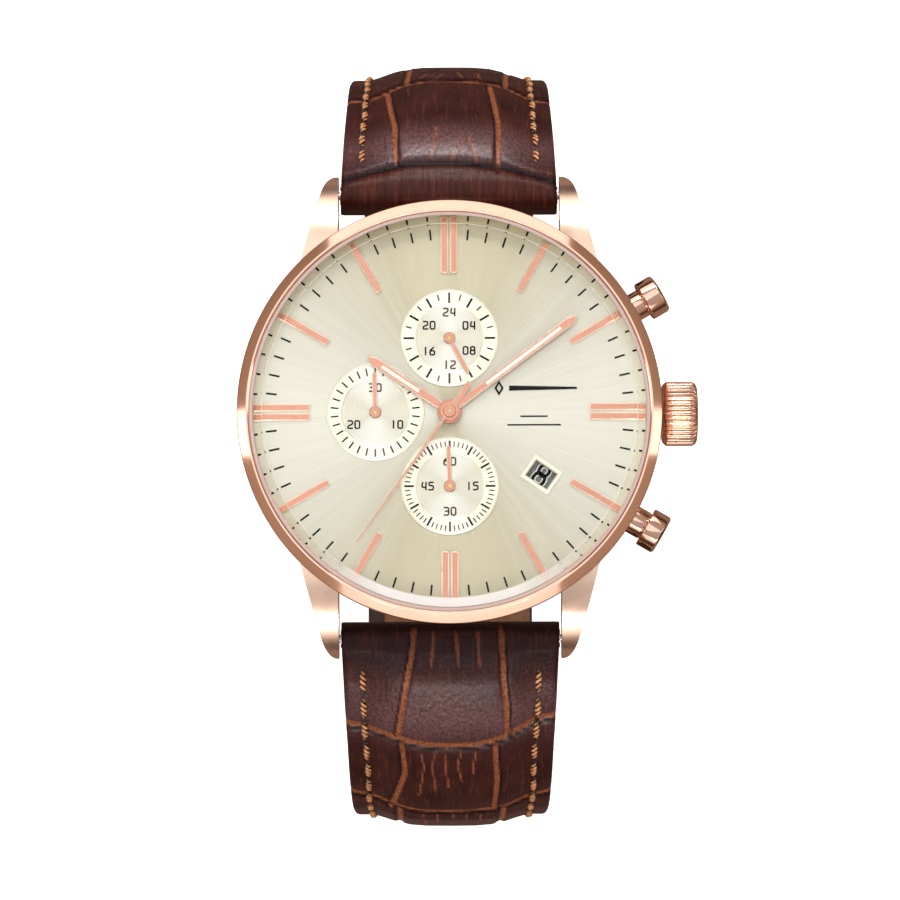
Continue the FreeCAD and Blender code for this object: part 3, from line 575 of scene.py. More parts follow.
# ---- bezel, gasket and crystal
FINE = 360  # segments of the large rings
bezel_line = [(BEZEL_BORE_R, 6.5), (20.85, 6.5), (BEZEL_R, 6.65), (BEZEL_R, 7.74), (20.93, 7.84),
              (20.2, 8.25), (20.1, 8.3), (19.94, 8.3), (19.84, 8.24), (BEZEL_BORE_R, 8.1)]
lathe(bezel_line, FINE).make("bezel_ring", "watch", "rose_gold", GOLD, ["bezel"], 25)
gasket_line = [(19.42, 7.0), (BEZEL_BORE_R, 7.0), (BEZEL_BORE_R, 8.06), (19.74, 8.12), (19.48, 8.12),
               (19.42, 8.06)]
lathe(gasket_line, FINE).make("gasket_ring", "watch", "gasket_pink", GASKET, ["crystal_gasket"], 25)

crystal_line = [(18.0, 7.95), (CRYSTAL_R, 7.95), (CRYSTAL_R, 8.38), (18.54, 8.86), (18.47, 8.9)]
crystal = lathe(crystal_line, FINE, False,
                mat_of=lambda r, z: 2 if r < 18.53 and z > 8.5 else int(z > 8.5))
crystal.faces.append(tuple(reversed(range(FINE))))
crystal.faces.append(tuple(range(4 * FINE, 5 * FINE)))
crystal.mats += [0, 0]
crystal.make("crystal_lens", "watch", "crystal_glass", [GLASS, GLASS_BEVEL, GLASS_GLINT], ["crystal"], sharp=8)


# ---- sub-dials
SUBS = {"12": (0.0, SUB_C), "9": (-SUB_C, 0.0), "6": (0.0, -SUB_C)}
pan_line = [(0.36, SEAT_Z), (SUB_R, SEAT_Z), (SUB_R, 6.30), (SUB_R - 0.04, 6.335), (SUB_R - 0.12, 6.335),
            (SUB_R - 0.17, 6.27), (3.42, 6.262), (3.38, 6.285), (3.33, 6.285), (3.29, SUB_Z), (0.36, SUB_Z)]
for key, centre in SUBS.items():
    pan = lathe(pan_line, 160, mat_of=lambda r, z: 1 if r < 3.3 else 0)
    pan.make("silver_pan_" + key, "watch", "dial_silver", [SILVER, AZURE], ["subdial_" + key], 20, centre)


# ---- printing
def ribbon(shape, points, width, z, closed=False, mat=0, rise=0.012):
    """A flat printed stroke along (x, y) points."""
    pts = [Vector(p) for p in points]
    n = len(pts)
    left = []
    right = []
    for i, p in enumerate(pts):
        before = pts[i - 1] if (i > 0 or closed) else None
        after = pts[(i + 1) % n] if (i < n - 1 or closed) else None
        da = (p - before).normalized() if before is not None else (after - p).normalized()
        db = (after - p).normalized() if after is not None else da
        mid = mitre(da, db, 0.4)
        end = da * width * 0.3 * ((after is None) - (before is None))
        left.append(p + mid * width / 2 + end)
        right.append(p - mid * width / 2 + end)
    verts = [(v.x, v.y, h) for h in (z + rise, z - 0.01) for v in left + right]
    faces = []
    for i in range(n if closed else n - 1):
        j = (i + 1) % n
        faces.append((n + i, n + j, j, i))
        faces.append((i, j, 2 * n + j, 2 * n + i))
        faces.append((n + j, n + i, 3 * n + i, 3 * n + j))
    if not closed:
        faces.append((0, 2 * n, 3 * n, n))
        faces.append((n - 1, 2 * n - 1, 4 * n - 1, 3 * n - 1))
    shape.add(verts, faces, mat)


def tick(shape, centre, deg, r0, r1, width, z, mat=0):
    c = Vector(centre)
    ribbon(shape, [c + Vector(at_deg(r0, deg)), c + Vector(at_deg(r1, deg))], width, z, mat=mat)


BOX = [(0, 0), (0.6, 0), (0.6, 1), (0, 1)]
DIGITS = {
    "0": [(BOX, True)],
    "1": [([(0.35, 0), (0.35, 1)], False)],
    "2": [([(0.02, 1), (0.6, 1), (0.6, 0.56), (0.0, 0.3), (0.0, 0), (0.6, 0)], False)],
    "3": [([(0, 1), (0.6, 1), (0.6, 0), (0, 0)], False), ([(0.15, 0.52), (0.6, 0.52)], False)],
    "4": [([(0.14, 1), (0.0, 0.34), (0.6, 0.34)], False), ([(0.56, 1), (0.56, 0)], False)],
    "5": [([(0.6, 1), (0.02, 1), (0.02, 0.56), (0.6, 0.56), (0.6, 0), (0, 0)], False)],
    "6": [([(0.5, 1), (0.02, 0.62), (0, 0.3)], False),
          ([(0, 0), (0.6, 0), (0.6, 0.56), (0, 0.56)], True)],
    "8": [([(0.03, 0.52), (0.57, 0.52), (0.57, 1), (0.03, 1)], True),
          ([(0, 0), (0.6, 0), (0.6, 0.52), (0, 0.52)], True)],
}


def number(shape, text, x, y, height, z, stroke=0.21, turn=0.0, mat=0, wide=1.0):
    """Digits centred on (x, y), each drawn as rounded strokes."""
    pitch = 0.95 * wide
    total = (len(text) - 1) * pitch + 0.6 * wide
    spin = Matrix.Rotation(math.radians(-turn), 2)
    for i, digit in enumerate(text):
        for line, closed in DIGITS[digit]:
            pts = filleted(line, 0.22, 3, closed)
            out = []
            for px, py in pts:
                local = Vector((px * wide + i * pitch - total / 2, py - 0.5)) * height
                out.append(Vector((x, y)) + spin @ local)
            ribbon(shape, out, stroke * height, z, closed, mat)


print_shape = Shape()
for minute in range(60):
    if minute % 5:
        tick(print_shape, (0, 0), minute * 6, 17.25, 18.2, 0.19, DIAL_Z)
        tick(print_shape, (0, 0), minute * 6 - 0.4, 18.75, 19.2, 0.19, DIAL_Z)
for y, length in ((-0.45, 2.6), (-1.3, 5.2)):
    ribbon(print_shape, [(8.35 - length / 2, y), (8.35 + length / 2, y)], 0.16, DIAL_Z)
c12, c9, c6 = SUBS["12"], SUBS["9"], SUBS["6"]
TRACK_Z = SUB_Z + 0.008


def track(centre, count, sheen_reach, long_every, long_tick, short_tick):
    """A sub-dial's ring of ticks, printed brown near its top and bottom as a painted sheen over the black print.
    """
    half = count // 2
    for i in range(count):
        brown = int(min(i % half, half - i % half) <= sheen_reach)
        line = short_tick if i % long_every else long_tick
        tick(print_shape, centre, i * 360 / count, *line, TRACK_Z, brown)


track(c12, 24, 1, 2, (3.55, 4.47, 0.2), (3.90, 4.42, 0.14))
track(c9, 30, 1, 1, (3.70, 4.38, 0.15), ())
track(c6, 60, 3, 5, (3.60, 4.45, 0.19), (3.95, 4.42, 0.11))
NUMBER_H = 0.74
for centre, places in (
        (c12, (("24", 0, 2.58), ("04", 57.5, 2.32), ("08", 122.5, 2.32), ("12", 180, 2.66),
               ("16", 237.5, 2.42), ("20", 302.5, 2.38))),
        (c9, (("30", 0, 2.45), ("10", 120, 2.45), ("20", 240, 2.45))),
        (c6, (("60", 0, 2.45), ("15", 90, 2.2), ("30", 180, 2.5), ("45", 270, 2.2)))):
    for text, deg, r in places:
        x, y = at_deg(r, deg)
        # numbers at the top and bottom of each sub-dial take the brown print, a painted sheen
        number(print_shape, text, centre[0] + x, centre[1] + y, NUMBER_H, SUB_Z, mat=int(deg in (0, 180)))
print_shape.make("dial_print", "watch", "dial_cream", [PRINT, SHEEN_PRINT], sharp=30)


# ---- applied batons and date frame
def faceted(outline, z0, z1, chamfer, top_mat=0, highlight_mat=1, shape=None):
    """A slab whose sloped edge carries a painted highlight: a lighter, less metallic gold."""
    shape = shape or Shape()
    start = len(shape.mats)
    slab(outline, z0, z1, chamfer, shape, top_mat)
    n = len(outline)
    shape.mats[start + n:start + 2 * n] = [highlight_mat] * n
    return shape


batons = Shape()
for hour in range(12):
    offsets = (-0.47, 0.47) if hour % 3 == 0 else (0.0,)
    for off in offsets:
        h = 0.385
        outline = [(off - h, 13.8), (off + h, 13.8), (off + h, 19.15), (off - h, 19.15)]
        one = faceted(filleted(outline, 0.24, 4), SEAT_Z, MARK_Z, 0.13)
        clockwise(one, hour * 30)
        batons.add(one.verts, one.faces)
        batons.mats[-len(one.mats):] = one.mats
batons.make("applied_batons", "watch", "rose_gold_hands", [HAND_GOLD, HAND_HIGHLIGHT], ["hour_markers"], 12)

FRAME_HALF_W = 1.35
FRAME_HALF_L = 1.65
FRAME_Z = 6.4
window = Shape()
outer = upright(FRAME_HALF_W, DATE_R - FRAME_HALF_L, DATE_R + FRAME_HALF_L)
inner = upright(DATE_HALF_W, DATE_R - DATE_HALF_L, DATE_R + DATE_HALF_L)
rows = [[(x, y, SEAT_Z) for x, y in outer], [(x, y, FRAME_Z - 0.04) for x, y in outer],
        [(x * 0.95, DATE_R + (y - DATE_R) * 0.96, FRAME_Z) for x, y in outer],
        [(x * 1.12, DATE_R + (y - DATE_R) * 1.1, FRAME_Z) for x, y in inner],
        [(x, y, SEAT_Z) for x, y in inner], [(x, y, 5.8) for x, y in inner]]
window.add([v for row in rows for v in row], wall(len(rows), 4))
clockwise(window, DATE_DEG)
FRAME_CREAM = Mat("cream_bevel", (0.93, 0.90, 0.80), Metallic=0.3, Roughness=0.3)
FRAME_CREAM.bump(FRAME_CREAM.noise(900), 0.000004, 0.3)
window.make("date_bevel", "watch", "rose_gold_hands", FRAME_CREAM.mat, ["date_frame"], 20)

NUMERAL_Z = 5.642
numerals = Shape()
for day in range(DAYS):
    deg = DATE_DEG + (day - 7) * 360 / DAYS
    x, y = at_deg(DATE_R, deg)
    text = str(day + 1)
    if all(d in DIGITS for d in text):
        size = 2.05 if len(text) == 1 else 1.35
        number(numerals, text, x, y, size, NUMERAL_Z, 0.26, deg - 90, 1, 0.9)
        number(numerals, text, x, y, size, NUMERAL_Z + 0.01, 0.165, deg - 90, 0, 0.9)
numerals.make("date_numerals", "date", "date_white", [PRINT, LUME], sharp=30)


# ---- hands
HAND_FINISH = [HAND_GOLD, HAND_HIGHLIGHT, LUME, SHADED_PIN]


def hub(shape, r_out, r_in, z0, z1):
    """The round middle of a hand, with a pin end in its bore painted deep red-brown for the shade there."""
    ring_line = [(r_in, z0), (r_out, z0), (r_out, z1 - 0.05), (r_out - 0.05, z1), (r_in + 0.03, z1),
                 (r_in, z1 - 0.03)]
    lathe(ring_line, 72, shape=shape)
    slab(circle(r_in + 0.01, 24), z0 + 0.01, z1 - 0.045, 0.0, shape, 3)


def main_hand(name, body, node, deg, length, half, hub_r, bore, z0, lume_from, lume_to):
    """A baton hand with sloped edges and a white stripe set in it."""
    shape = Shape()
    neck = half * 0.82
    tip = length - 0.02
    outline = [(-neck, 0.6), (neck, 0.6), (half, length - 0.8), (0.2, tip), (-0.2, tip),
               (-half, length - 0.8)]
    faceted(filleted(outline, 0.1, 2), z0, z0 + 0.16, 0.13, shape=shape)
    hub(shape, hub_r, bore, z0 - 0.02, z0 + 0.2)
    groove = upright(0.2, lume_from, lume_to)
    faceted(filleted(groove, 0.05, 2), z0 + 0.1, z0 + 0.172, 0.03, 1, 1, shape)
    slab(upright(0.15, lume_from + 0.06, lume_to - 0.06), z0 + 0.1, z0 + 0.18, 0.0, shape, 2)
    clockwise(shape, deg)
    shape.make(name, body, "rose_gold_hands", HAND_FINISH, [node], 12)


main_hand("hour_baton", "hour", "hour_hand", 303.8, 9.7, 0.50, 1.2, 0.75, HOUR_HAND_Z, 3.6, 8.1)
main_hand("minute_baton", "minute", "minute_hand", 53.3, 15.65, 0.46, 1.0, 0.45, MINUTE_HAND_Z, 4.5, 13.8)

sweep = Shape()
needle = [(0.15, 0), (0.07, 15.9), (-0.07, 15.9), (-0.15, 0)]
faceted(needle, SWEEP_HAND_Z, SWEEP_HAND_Z + 0.1, 0.04, shape=sweep)
weight = [(-0.24, -0.3), (-0.27, -3.5), (0.27, -3.5), (0.24, -0.3)]
faceted(weight, SWEEP_HAND_Z, SWEEP_HAND_Z + 0.12, 0.07, shape=sweep)
hub(sweep, 0.62, 0.2, SWEEP_HAND_Z - 0.02, SWEEP_HAND_Z + 0.23)
clockwise(sweep, 215.5)
sweep.make("sweep_needle", "sweep", "rose_gold_hands", HAND_FINISH, ["chrono_hand"], 12)

for node, body, key, deg in (("hand_24h", "day_hand", "12", 152.0), ("hand_30min", "counter", "9", -1.5),
                             ("hand_seconds", "seconds", "6", -1.8)):
    small = Shape()
    line = [(-0.22, 0.3), (0.22, 0.3), (0.22, 3.7), (0.08, 4.0), (-0.08, 4.0), (-0.22, 3.7)]
    faceted(line, SMALL_HAND_Z, SMALL_HAND_Z + 0.1, 0.07, shape=small)
    hub(small, 0.56, 0.2, SMALL_HAND_Z - 0.02, SMALL_HAND_Z + 0.14)
    clockwise(small, deg, *SUBS[key])
    small.make("small_" + node, body, "rose_gold_hands", HAND_FINISH, [node], 12)


# ---- crown and push-buttons
FLUTES = 36
STEPS = 10
crown = Shape()
stations = [(21.1, 1.8, 0), (21.1, 2.75, 0), (21.16, 2.85, 0.2), (21.25, 2.96, 0.5), (21.4, 3.1, 0.9),
            (21.52, CROWN_R, 1), (24.12, CROWN_R, 1), (24.28, 3.12, 0.9), (24.42, 3.0, 0.5),
            (24.52, 2.88, 0.15), (24.58, 2.7, 0), (24.62, 2.3, 0), (24.64, 1.2, 0), (24.65, 0.05, 0)]
count = FLUTES * STEPS
verts = []
for x, r, depth in stations:
    for k in range(count):
        phase = (k % STEPS) / STEPS
        edge = abs(phase - 0.5) * 2
        bar = r - 0.2 * depth * max(0.0, (edge - 0.35) / 0.65) ** 1.3 - 0.03 * depth * edge ** 2
        a = 2 * math.pi * k / count
        verts.append((x, bar * math.cos(a), STEM_Z + bar * math.sin(a)))
faces = wall(len(stations), count, flip=True)
faces.append(tuple(range((len(stations) - 1) * count, len(stations) * count)))
faces.append(tuple(reversed(range(count))))
crown.add(verts, faces)
crown.make("crown_fluted", "crown", "rose_gold", GOLD, ["crown"], 45)

push_line = [(0.01, 19.5), (1.44, 19.5), (1.44, 22.25), (1.36, 22.3), (1.36, 22.4), (1.9, 22.4),
             (PUSH_R, 22.5), (PUSH_R, 24.08), (1.8, 24.3), (0.9, 24.34), (0.01, 24.35)]
for tag, sign in (("2", 1), ("4", -1)):
    button = lathe(filleted(push_line, 0.05, 3, False), 96, False)
    to_x_axis(button)
    button.moved(Matrix.Rotation(math.radians(PUSH_DEG * sign), 4, "Z"))
    button.make("button_" + tag, "pusher_" + tag, "rose_gold", GOLD, ["pusher_" + tag], 40)


# ---- leather strap
def curve(points, count=1200):
    """Running length, y and z along a Catmull-Rom line."""
    p = np.array(points)
    p = np.vstack([2 * p[0] - p[1], p, 2 * p[-1] - p[-2]])
    t = np.linspace(0, len(points) - 1, count + 1)
    i = np.minimum(t.astype(int), len(points) - 2)
    f = (t - i)[:, None]
    a, b, c, d = p[i], p[i + 1], p[i + 2], p[i + 3]
    line = 0.5 * (2 * b + (c - a) * f + (2 * a - 5 * b + 4 * c - d) * f * f
                  + (3 * b - a - 3 * c + d) * f ** 3)
    run = np.concatenate([[0], np.cumsum(np.hypot(*np.diff(line, axis=0).T))])
    return run, line[:, 0], line[:, 1]


def table(pairs, s):
    return np.interp(s, [p[0] for p in pairs], [p[1] for p in pairs])


def seg_distance(s, u, line):
    """Signed distance from each (s, u) to a polyline, positive on its far side along s + u."""
    best = np.full(np.broadcast(s, u).shape, 1e3)
    sign = np.zeros_like(best)
    for (s0, u0), (s1, u1) in zip(line, line[1:]):
        ds, du = s1 - s0, u1 - u0
        t = np.clip(((s - s0) * ds + (u - u0) * du) / (ds * ds + du * du), 0, 1)
        dist = np.hypot(s - s0 - t * ds, u - u0 - t * du)
        near = dist < best
        side = np.sign((s - s0) * du - (u - u0) * ds)
        best = np.where(near, dist, best)
        sign = np.where(near, side, sign)
    return best * np.where(sign == 0, 1, sign)


SHORT_LINE = [(20.45, 0.55), (22.6, 0.1), (26.2, -2.0), (30.5, -6.6), (33.5, -12.6), (34.75, -20.0),
              (34.1, -28.5), (31.0, -36.4), (26.5, -42.4), (22.3, -45.7), (18.4, -46.6), (14.0, -46.6),
              (9.0, -46.6), (4.0, -46.6), (1.2, -46.6)]
LONG_LINE = [(20.45, 0.55), (22.6, 0.1), (26.9, -2.0), (31.8, -6.6), (35.35, -12.6), (36.9, -20.0),
             (36.1, -28.5), (32.3, -36.6), (26.5, -42.8), (20.0, -46.0), (14.0, -46.9), (9.0, -47.05),
             (5.0, -47.5), (1.5, -48.4), (-1.5, -48.75), (-6.0, -48.75), (-12.0, -48.75),
             (-18.0, -48.75), (-24.6, -48.75)]
WIDTHS = [(0, 21.7), (4, 21.4), (12, 20.75), (24, 20.2), (62, 18.0), (400, 18.0)]
EDGES = [(0, 1.6), (0.35, 2.5), (0.9, 3.15), (1.8, 3.55), (3.0, 3.3), (5, 2.9), (30, 2.5), (58, 2.0),
         (400, 1.9)]
MIDS = [(0, 1.7), (0.35, 2.65), (0.9, 3.35), (1.8, 3.85), (3.4, 3.95), (5, 4.25), (26, 3.9),
        (56, 2.15), (59, 2.0), (400, 1.9)]
PADDING = [(0, 1), (0.25, 0.985), (0.42, 0.88), (0.56, 0.62), (0.68, 0.3), (0.76, 0.1), (0.82, 0), (1, 0)]
STITCH_INSET = 1.9
STITCH = 1.85
LONG_STITCH = 2.6


def paint(obj, name, values, kind="FLOAT", field="value"):
    """Stores a value or vector at every point of a mesh."""
    layer = obj.data.attributes.new(name, kind, "POINT")
    layer.data.foreach_set(field, values.reshape(-1).astype(np.float32))


class Strap:
    """One half of the strap as a leather top, side edges and a lining, with creases worked in."""

    def __init__(self, line, side, stitch, shine, creases, tip=()):
        self.run, self.y, self.z = curve(line)
        self.length = self.run[-1]
        self.side = side
        self.creases = creases
        self.stitch = stitch
        self.shine = shine
        self.widths = [p for p in WIDTHS if not tip or p[0] < 100] + list(tip)

    def half(self, s):
        return table(self.widths, s) / 2

    def frame_at(self, s):
        """Place and direction of the inner line at length s."""
        step = 0.15
        (y, z), (y1, z1), (y2, z2) = [(np.interp(t, self.run, self.y), np.interp(t, self.run, self.z))
                                      for t in (s, s - step, s + step)]
        ty, tz = y2 - y1, z2 - z1
        size = np.hypot(ty, tz)
        return y, z, ty / size, tz / size

    def point(self, s, u, b):
        """The place at length s, u across and b out from the inner line."""
        y, z, ty, tz = self.frame_at(s)
        return np.stack([u + 0 * s, self.side * (y - tz * b), z + ty * b], -1)

    def smooth_top(self, s, u):
        """Height of the leather above the inner line, before creases."""
        h = self.half(s)
        edge = table(EDGES, s)
        mid = table(MIDS, s)
        f = np.abs(u) / h
        pad = table(PADDING, f)
        round_over = np.clip((np.abs(u) - (h - 0.5)) / 0.5, 0, 1)
        return edge + (mid - edge) * pad - 0.45 * (1 - np.sqrt(1 - 0.96 * round_over ** 2))

    def marks(self, s, u):
        """How deep, how much a crease and how much painted shade the leather has at each (s, u)."""
        depth = np.zeros(np.broadcast(s, u).shape)
        crease = np.zeros_like(depth)
        painted_shade = np.zeros_like(depth)
        for line, width, deep, kind in self.creases:
            signed = seg_distance(s, u, line)
            dist = np.abs(signed)
            groove = np.exp(-(dist / (width * 0.5)) ** 4)
            depth = np.maximum(depth, deep * groove)
            if kind == "seam":
                # painted shade along the seam groove
                painted_shade = np.maximum(painted_shade, np.exp(-(dist / (width * 0.5)) ** 2))
                continue
            crease = np.maximum(crease, groove if kind == "fold" else groove * 0.7)
            if kind == "fold":
                # painted shade: a shaded line just past each fold
                painted_shade = np.maximum(painted_shade, np.exp(-((signed - width * 0.62) / (width * 0.22)) ** 2))
                depth = np.maximum(depth, deep * 0.9 * np.exp(-((signed - width * 0.4) / (width * 0.3)) ** 2))
        return depth, crease, painted_shade

    def build(self, name, node):
        """The closed mesh, with what the leather material reads stored at each point."""
        rows = int(self.length / 0.3)
        columns = 104
        s = np.linspace(0, self.length, rows + 1)[:, None]
        f = np.linspace(-1, 1, columns + 1)[None, :]
        h = self.half(s)
        u = np.sign(f) * np.abs(f) ** 0.92 * h
        s_all = s + 0 * u
        depth, crease, painted_shade = self.marks(s, u)
        grain = np.random.default_rng(11).normal(0, 1, depth.shape)
        for _ in range(3):
            grain = (grain + np.roll(grain, 1, 0) + np.roll(grain, -1, 0)
                     + np.roll(grain, 1, 1) + np.roll(grain, -1, 1)) / 5
        pts = self.point(s, u, self.smooth_top(s, u) - depth + 0.008 * grain - 0.005)
        edge = [(-1.0, 0.45), (-1.0, 0.3), (-0.985, 0.06), (-0.97, 0.0)]
        low = edge + [(g, 0.0) for g in (-0.8, -0.4, 0.0, 0.4, 0.8)] + [(-a, b) for a, b in reversed(edge)]
        under = np.stack([self.point(s[:, 0], a * h[:, 0], b + 0 * s[:, 0]) for a, b in low], 1)
        ring = np.concatenate([pts, under[:, ::-1]], 1)
        across = ring.shape[1]
        first = tuple(range(across))
        last = tuple(range(rows * across, (rows + 1) * across))
        faces = wall(rows + 1, across, flip=self.side > 0)
        faces += [first, last[::-1]] if self.side > 0 else [first[::-1], last]
        kind = [0] * columns + [1] * 4 + [2] * (across - columns - 9) + [1] * 5
        obj = make(name, ring.reshape(-1, 3).tolist(), faces, "watch",
                   [LEATHER, EDGE_PAINT, LINING], [node], 60, kind * rows + [1, 1])
        if self.side > 0:
            # painted shade on the 12 o'clock lug-end roll, next to the case
            roll = np.interp(s_all, [0.0, 1.3, 2.2, 2.9, 3.2], [0.3, 0.5, 0.95, 0.8, 0])
        else:
            roll = 0 * s_all
            # painted shade on the 6 o'clock strap, strongest at the end by the case
            painted_shade = np.maximum(painted_shade, np.interp(s_all, [0.0, 2.5, 5.0], [0.65, 0.5, 0.0]))
        # a band where the strap bends, and a weaker level past 24 mm, that sets both the coat weight and a
        # painted sheen
        middle, spread = self.shine
        gloss_and_painted_sheen = np.exp(-((s_all - middle) / spread) ** 2) + 0.35 * (s_all > 24)
        gloss_and_painted_sheen *= np.interp(np.abs(u) / h, [0, 0.6, 0.8, 1.0], [1.0, 0.9, 0.5, 0.5])
        bare = np.zeros((rows + 1, len(low)))
        for key, values in (("crease", crease), ("painted_shade", painted_shade), ("roll", roll), ("gloss_and_painted_sheen", gloss_and_painted_sheen)):
            paint(obj, key, np.concatenate([values, bare], 1))
        flat = np.stack([s_all, u, 0 * u], -1) * MM
        flat = np.concatenate([flat, np.zeros((rows + 1, len(low), 3))], 1)
        paint(obj, "along", flat, "FLOAT_VECTOR", "vector")
        return obj

    def stitches(self, name, stop):
        """Two rows of plump stitches, each two strands twisted together."""
        shape = Shape()
        painted_strand_light = []
        steps, sides, turns = 26, 6, self.stitch * 0.95
        for sign in (-1, 1):
            s0 = 3.7
            while s0 + self.stitch < stop:
                t = np.linspace(0, 1, steps + 1)
                s = s0 + t * self.stitch * 0.95
                u = sign * (self.half(s) - STITCH_INSET) + 0.06 * np.sin(s0 * 9.1 + sign)
                lift = 0.24 * np.sin(np.pi * np.clip(t * 1.02, 0, 1)) ** 0.45 - 0.16
                base = self.smooth_top(s, u) + lift
                plump = 0.27 * np.sin(np.pi * (0.10 + 0.80 * t)) ** 0.5
                for strand in (0, math.pi):
                    phase = 2 * math.pi * turns * t * sign + strand + s0
                    swell = plump / 0.27
                    centre = self.point(s, u + 0.22 * np.cos(phase) * swell, base + 0.16 * np.sin(phase) * swell)
                    self.tube(shape, centre, plump * 0.56, sides)
                    # painted light per point: high on the upper side of each twist, low below it and toward the
                    # stitch ends
                    height = 0.5 + 0.5 * np.sin(phase) * np.clip(swell, 0, 1)
                    painted_strand_light += list(np.repeat(height * np.sin(np.pi * t) ** 0.4, sides))
                s0 += self.stitch
        obj = shape.make(name, "watch", "leather_brown", THREAD, sharp=0)
        paint(obj, "painted_strand_light", np.array(painted_strand_light))

    def tube(self, shape, centre, radius, sides):
        """A closed strand along the centre points."""
        tangent = np.gradient(centre, axis=0)
        tangent /= np.linalg.norm(tangent, axis=1)[:, None]
        x = np.array([1.0, 0, 0]) + 0 * tangent
        x -= tangent * np.sum(x * tangent, 1)[:, None]
        x /= np.linalg.norm(x, axis=1)[:, None]
        w = np.cross(tangent, x)
        a = 2 * np.pi * np.arange(sides) / sides
        ring = (centre[:, None] + radius[:, None, None]
                * (np.cos(a)[None, :, None] * x[:, None] + np.sin(a)[None, :, None] * w[:, None]))
        shape.add(ring.reshape(-1, 3).tolist(), prism(len(centre), sides))


def croc(start, stop, seed):
    """Cross folds and lengthwise folds that carry the pattern on round the wrist."""
    rng = np.random.default_rng(seed)
    folds = []
    s = start
    while s < stop:
        pitch = rng.uniform(8.5, 11.0) * (0.8 if s > 60 else 1)
        bow = rng.uniform(0.8, 1.8)
        folds.append(([(s - bow * (u / 9) ** 2 + rng.uniform(-0.2, 0.2), u)
                       for u in np.linspace(-10.8, 10.8, 10)], 0.8, 0.26, "fold"))
        for side in (-5.2, 4.9):
            wobble = rng.uniform(-0.5, 0.5)
            folds.append(([(s, side + wobble), (s + pitch * 0.5, side + 0.5 * wobble),
                           (s + pitch, side)], 0.62, 0.2, "fold"))
        for u in (-2.8, -1.4, 0.3, 1.6, 3.1):
            folds.append(([(s + 0.7, u), (s + rng.uniform(2.5, 4.5), u + rng.uniform(-0.3, 0.3))],
                          0.16, 0.05, "wrinkle"))
        s += pitch
    return folds


def creases(width, deep, kind, *lines):
    return [(line, width, deep, kind) for line in lines]


# Creases seen in the photo, as (length along the strap, distance from its middle).
CREASES_12 = (
    creases(0.62, 0.36, "seam",
            [(1.9, -11), (2.7, -8), (3.4, -4.1), (3.5, 0.4), (3.1, 5.4), (2.4, 8.5), (1.8, 11)])
    + creases(0.72, 0.3, "fold",
        [(13.2, -11), (13.4, -8.3), (13.6, -7.2), (14.7, -4.6), (15.3, -1.9), (15.2, 1.0), (15.0, 3.2),
         (14.7, 6.0), (13.7, 8.3), (13.2, 9.2), (13.0, 11)])
    + creases(0.56, 0.24, "fold",
        [(13.7, -6.2), (10.5, -5.9), (7.5, -5.4), (3.8, -5.3)],
        [(2.9, 4.9), (7.7, 5.0), (10.8, 4.6), (14.0, 4.2)])
    + creases(0.56, 0.22, "fold",
        [(15.2, -4.3), (20.0, -4.0), (24.0, -4.3)], [(15.0, 5.8), (20.0, 5.9), (24.0, 6.3)])
    + creases(0.26, 0.09, "wrinkle",
        [(3.7, -1.8), (5.4, -1.4), (7.0, -1.2)], [(3.5, 0.2), (4.6, 0.8), (5.6, 1.3)],
        [(3.2, 2.9), (4.5, 2.5), (5.8, 2.0)])
    + creases(0.24, 0.06, "wrinkle",
        [(16.2, -1.2), (17.6, -0.4)], [(16.2, 1.4), (18.0, 1.0)], [(16.2, -2.9), (17.4, -2.2)],
        [(16.0, 3.2), (17.4, 3.0)]))
CREASES_6 = (
    creases(0.72, 0.3, "fold",
            [(9.2, -11), (9.5, -9.2), (9.8, -8.2), (10.4, -5.2), (10.9, -2.6), (11.1, -0.3), (10.9, 2.6),
             (10.4, 5.0), (9.7, 6.8), (8.9, 8.6), (8.6, 9.4), (8.4, 11)])
    + creases(0.56, 0.24, "fold",
        [(0.6, -3.6), (2.6, -3.9), (4.8, -4.4), (7.4, -4.9), (9.9, -5.3)],
        [(10.0, 5.7), (6.8, 5.6), (4.5, 5.3), (2.4, 5.2), (0.5, 5.0)])
    + creases(0.56, 0.22, "fold",
        [(11.2, -4.9), (14.5, -4.6), (18.0, -5.4), (21.5, -6.2)], [(21.5, 4.4), (16.0, 4.7), (11.2, 4.5)])
    + creases(0.34, 0.08, "wrinkle",
        [(0.9, -1.7), (3.2, -1.9)], [(0.9, 0.6), (3.2, 0.8)], [(0.9, 2.7), (3.2, 2.9)])
    + creases(0.22, 0.06, "wrinkle",
        [(11.9, -3.0), (13.6, -2.7), (18.0, -3.2)], [(11.9, -1.7), (13.8, -1.8), (17.0, -1.6)],
        [(11.9, -0.4), (13.4, -0.6), (16.5, -0.2)], [(11.8, 1.0), (13.4, 0.7), (15.6, 1.1)],
        [(11.6, 2.6), (13.2, 2.3), (14.6, 2.2)]))


def carve(obj, cutter):
    """Cuts closed shapes out of a strap and bakes the result into its mesh."""
    mesh = bpy.data.meshes.new(obj.name + "_cut")
    mesh.from_pydata([Vector(v) * MM for v in cutter.verts], [], cutter.faces)
    mesh.polygons.foreach_set("material_index", [1] * len(mesh.polygons))
    tool = bpy.data.objects.new(obj.name + "_cut", mesh)
    link(tool)
    step = obj.modifiers.new("cut", "BOOLEAN")
    step.operation = "DIFFERENCE"
    step.object = tool
    bpy.context.view_layer.update()
    ready = obj.evaluated_get(bpy.context.evaluated_depsgraph_get())
    result = bpy.data.meshes.new_from_object(ready)
    obj.modifiers.remove(step)
    obj.data = result
    bpy.data.objects.remove(tool)


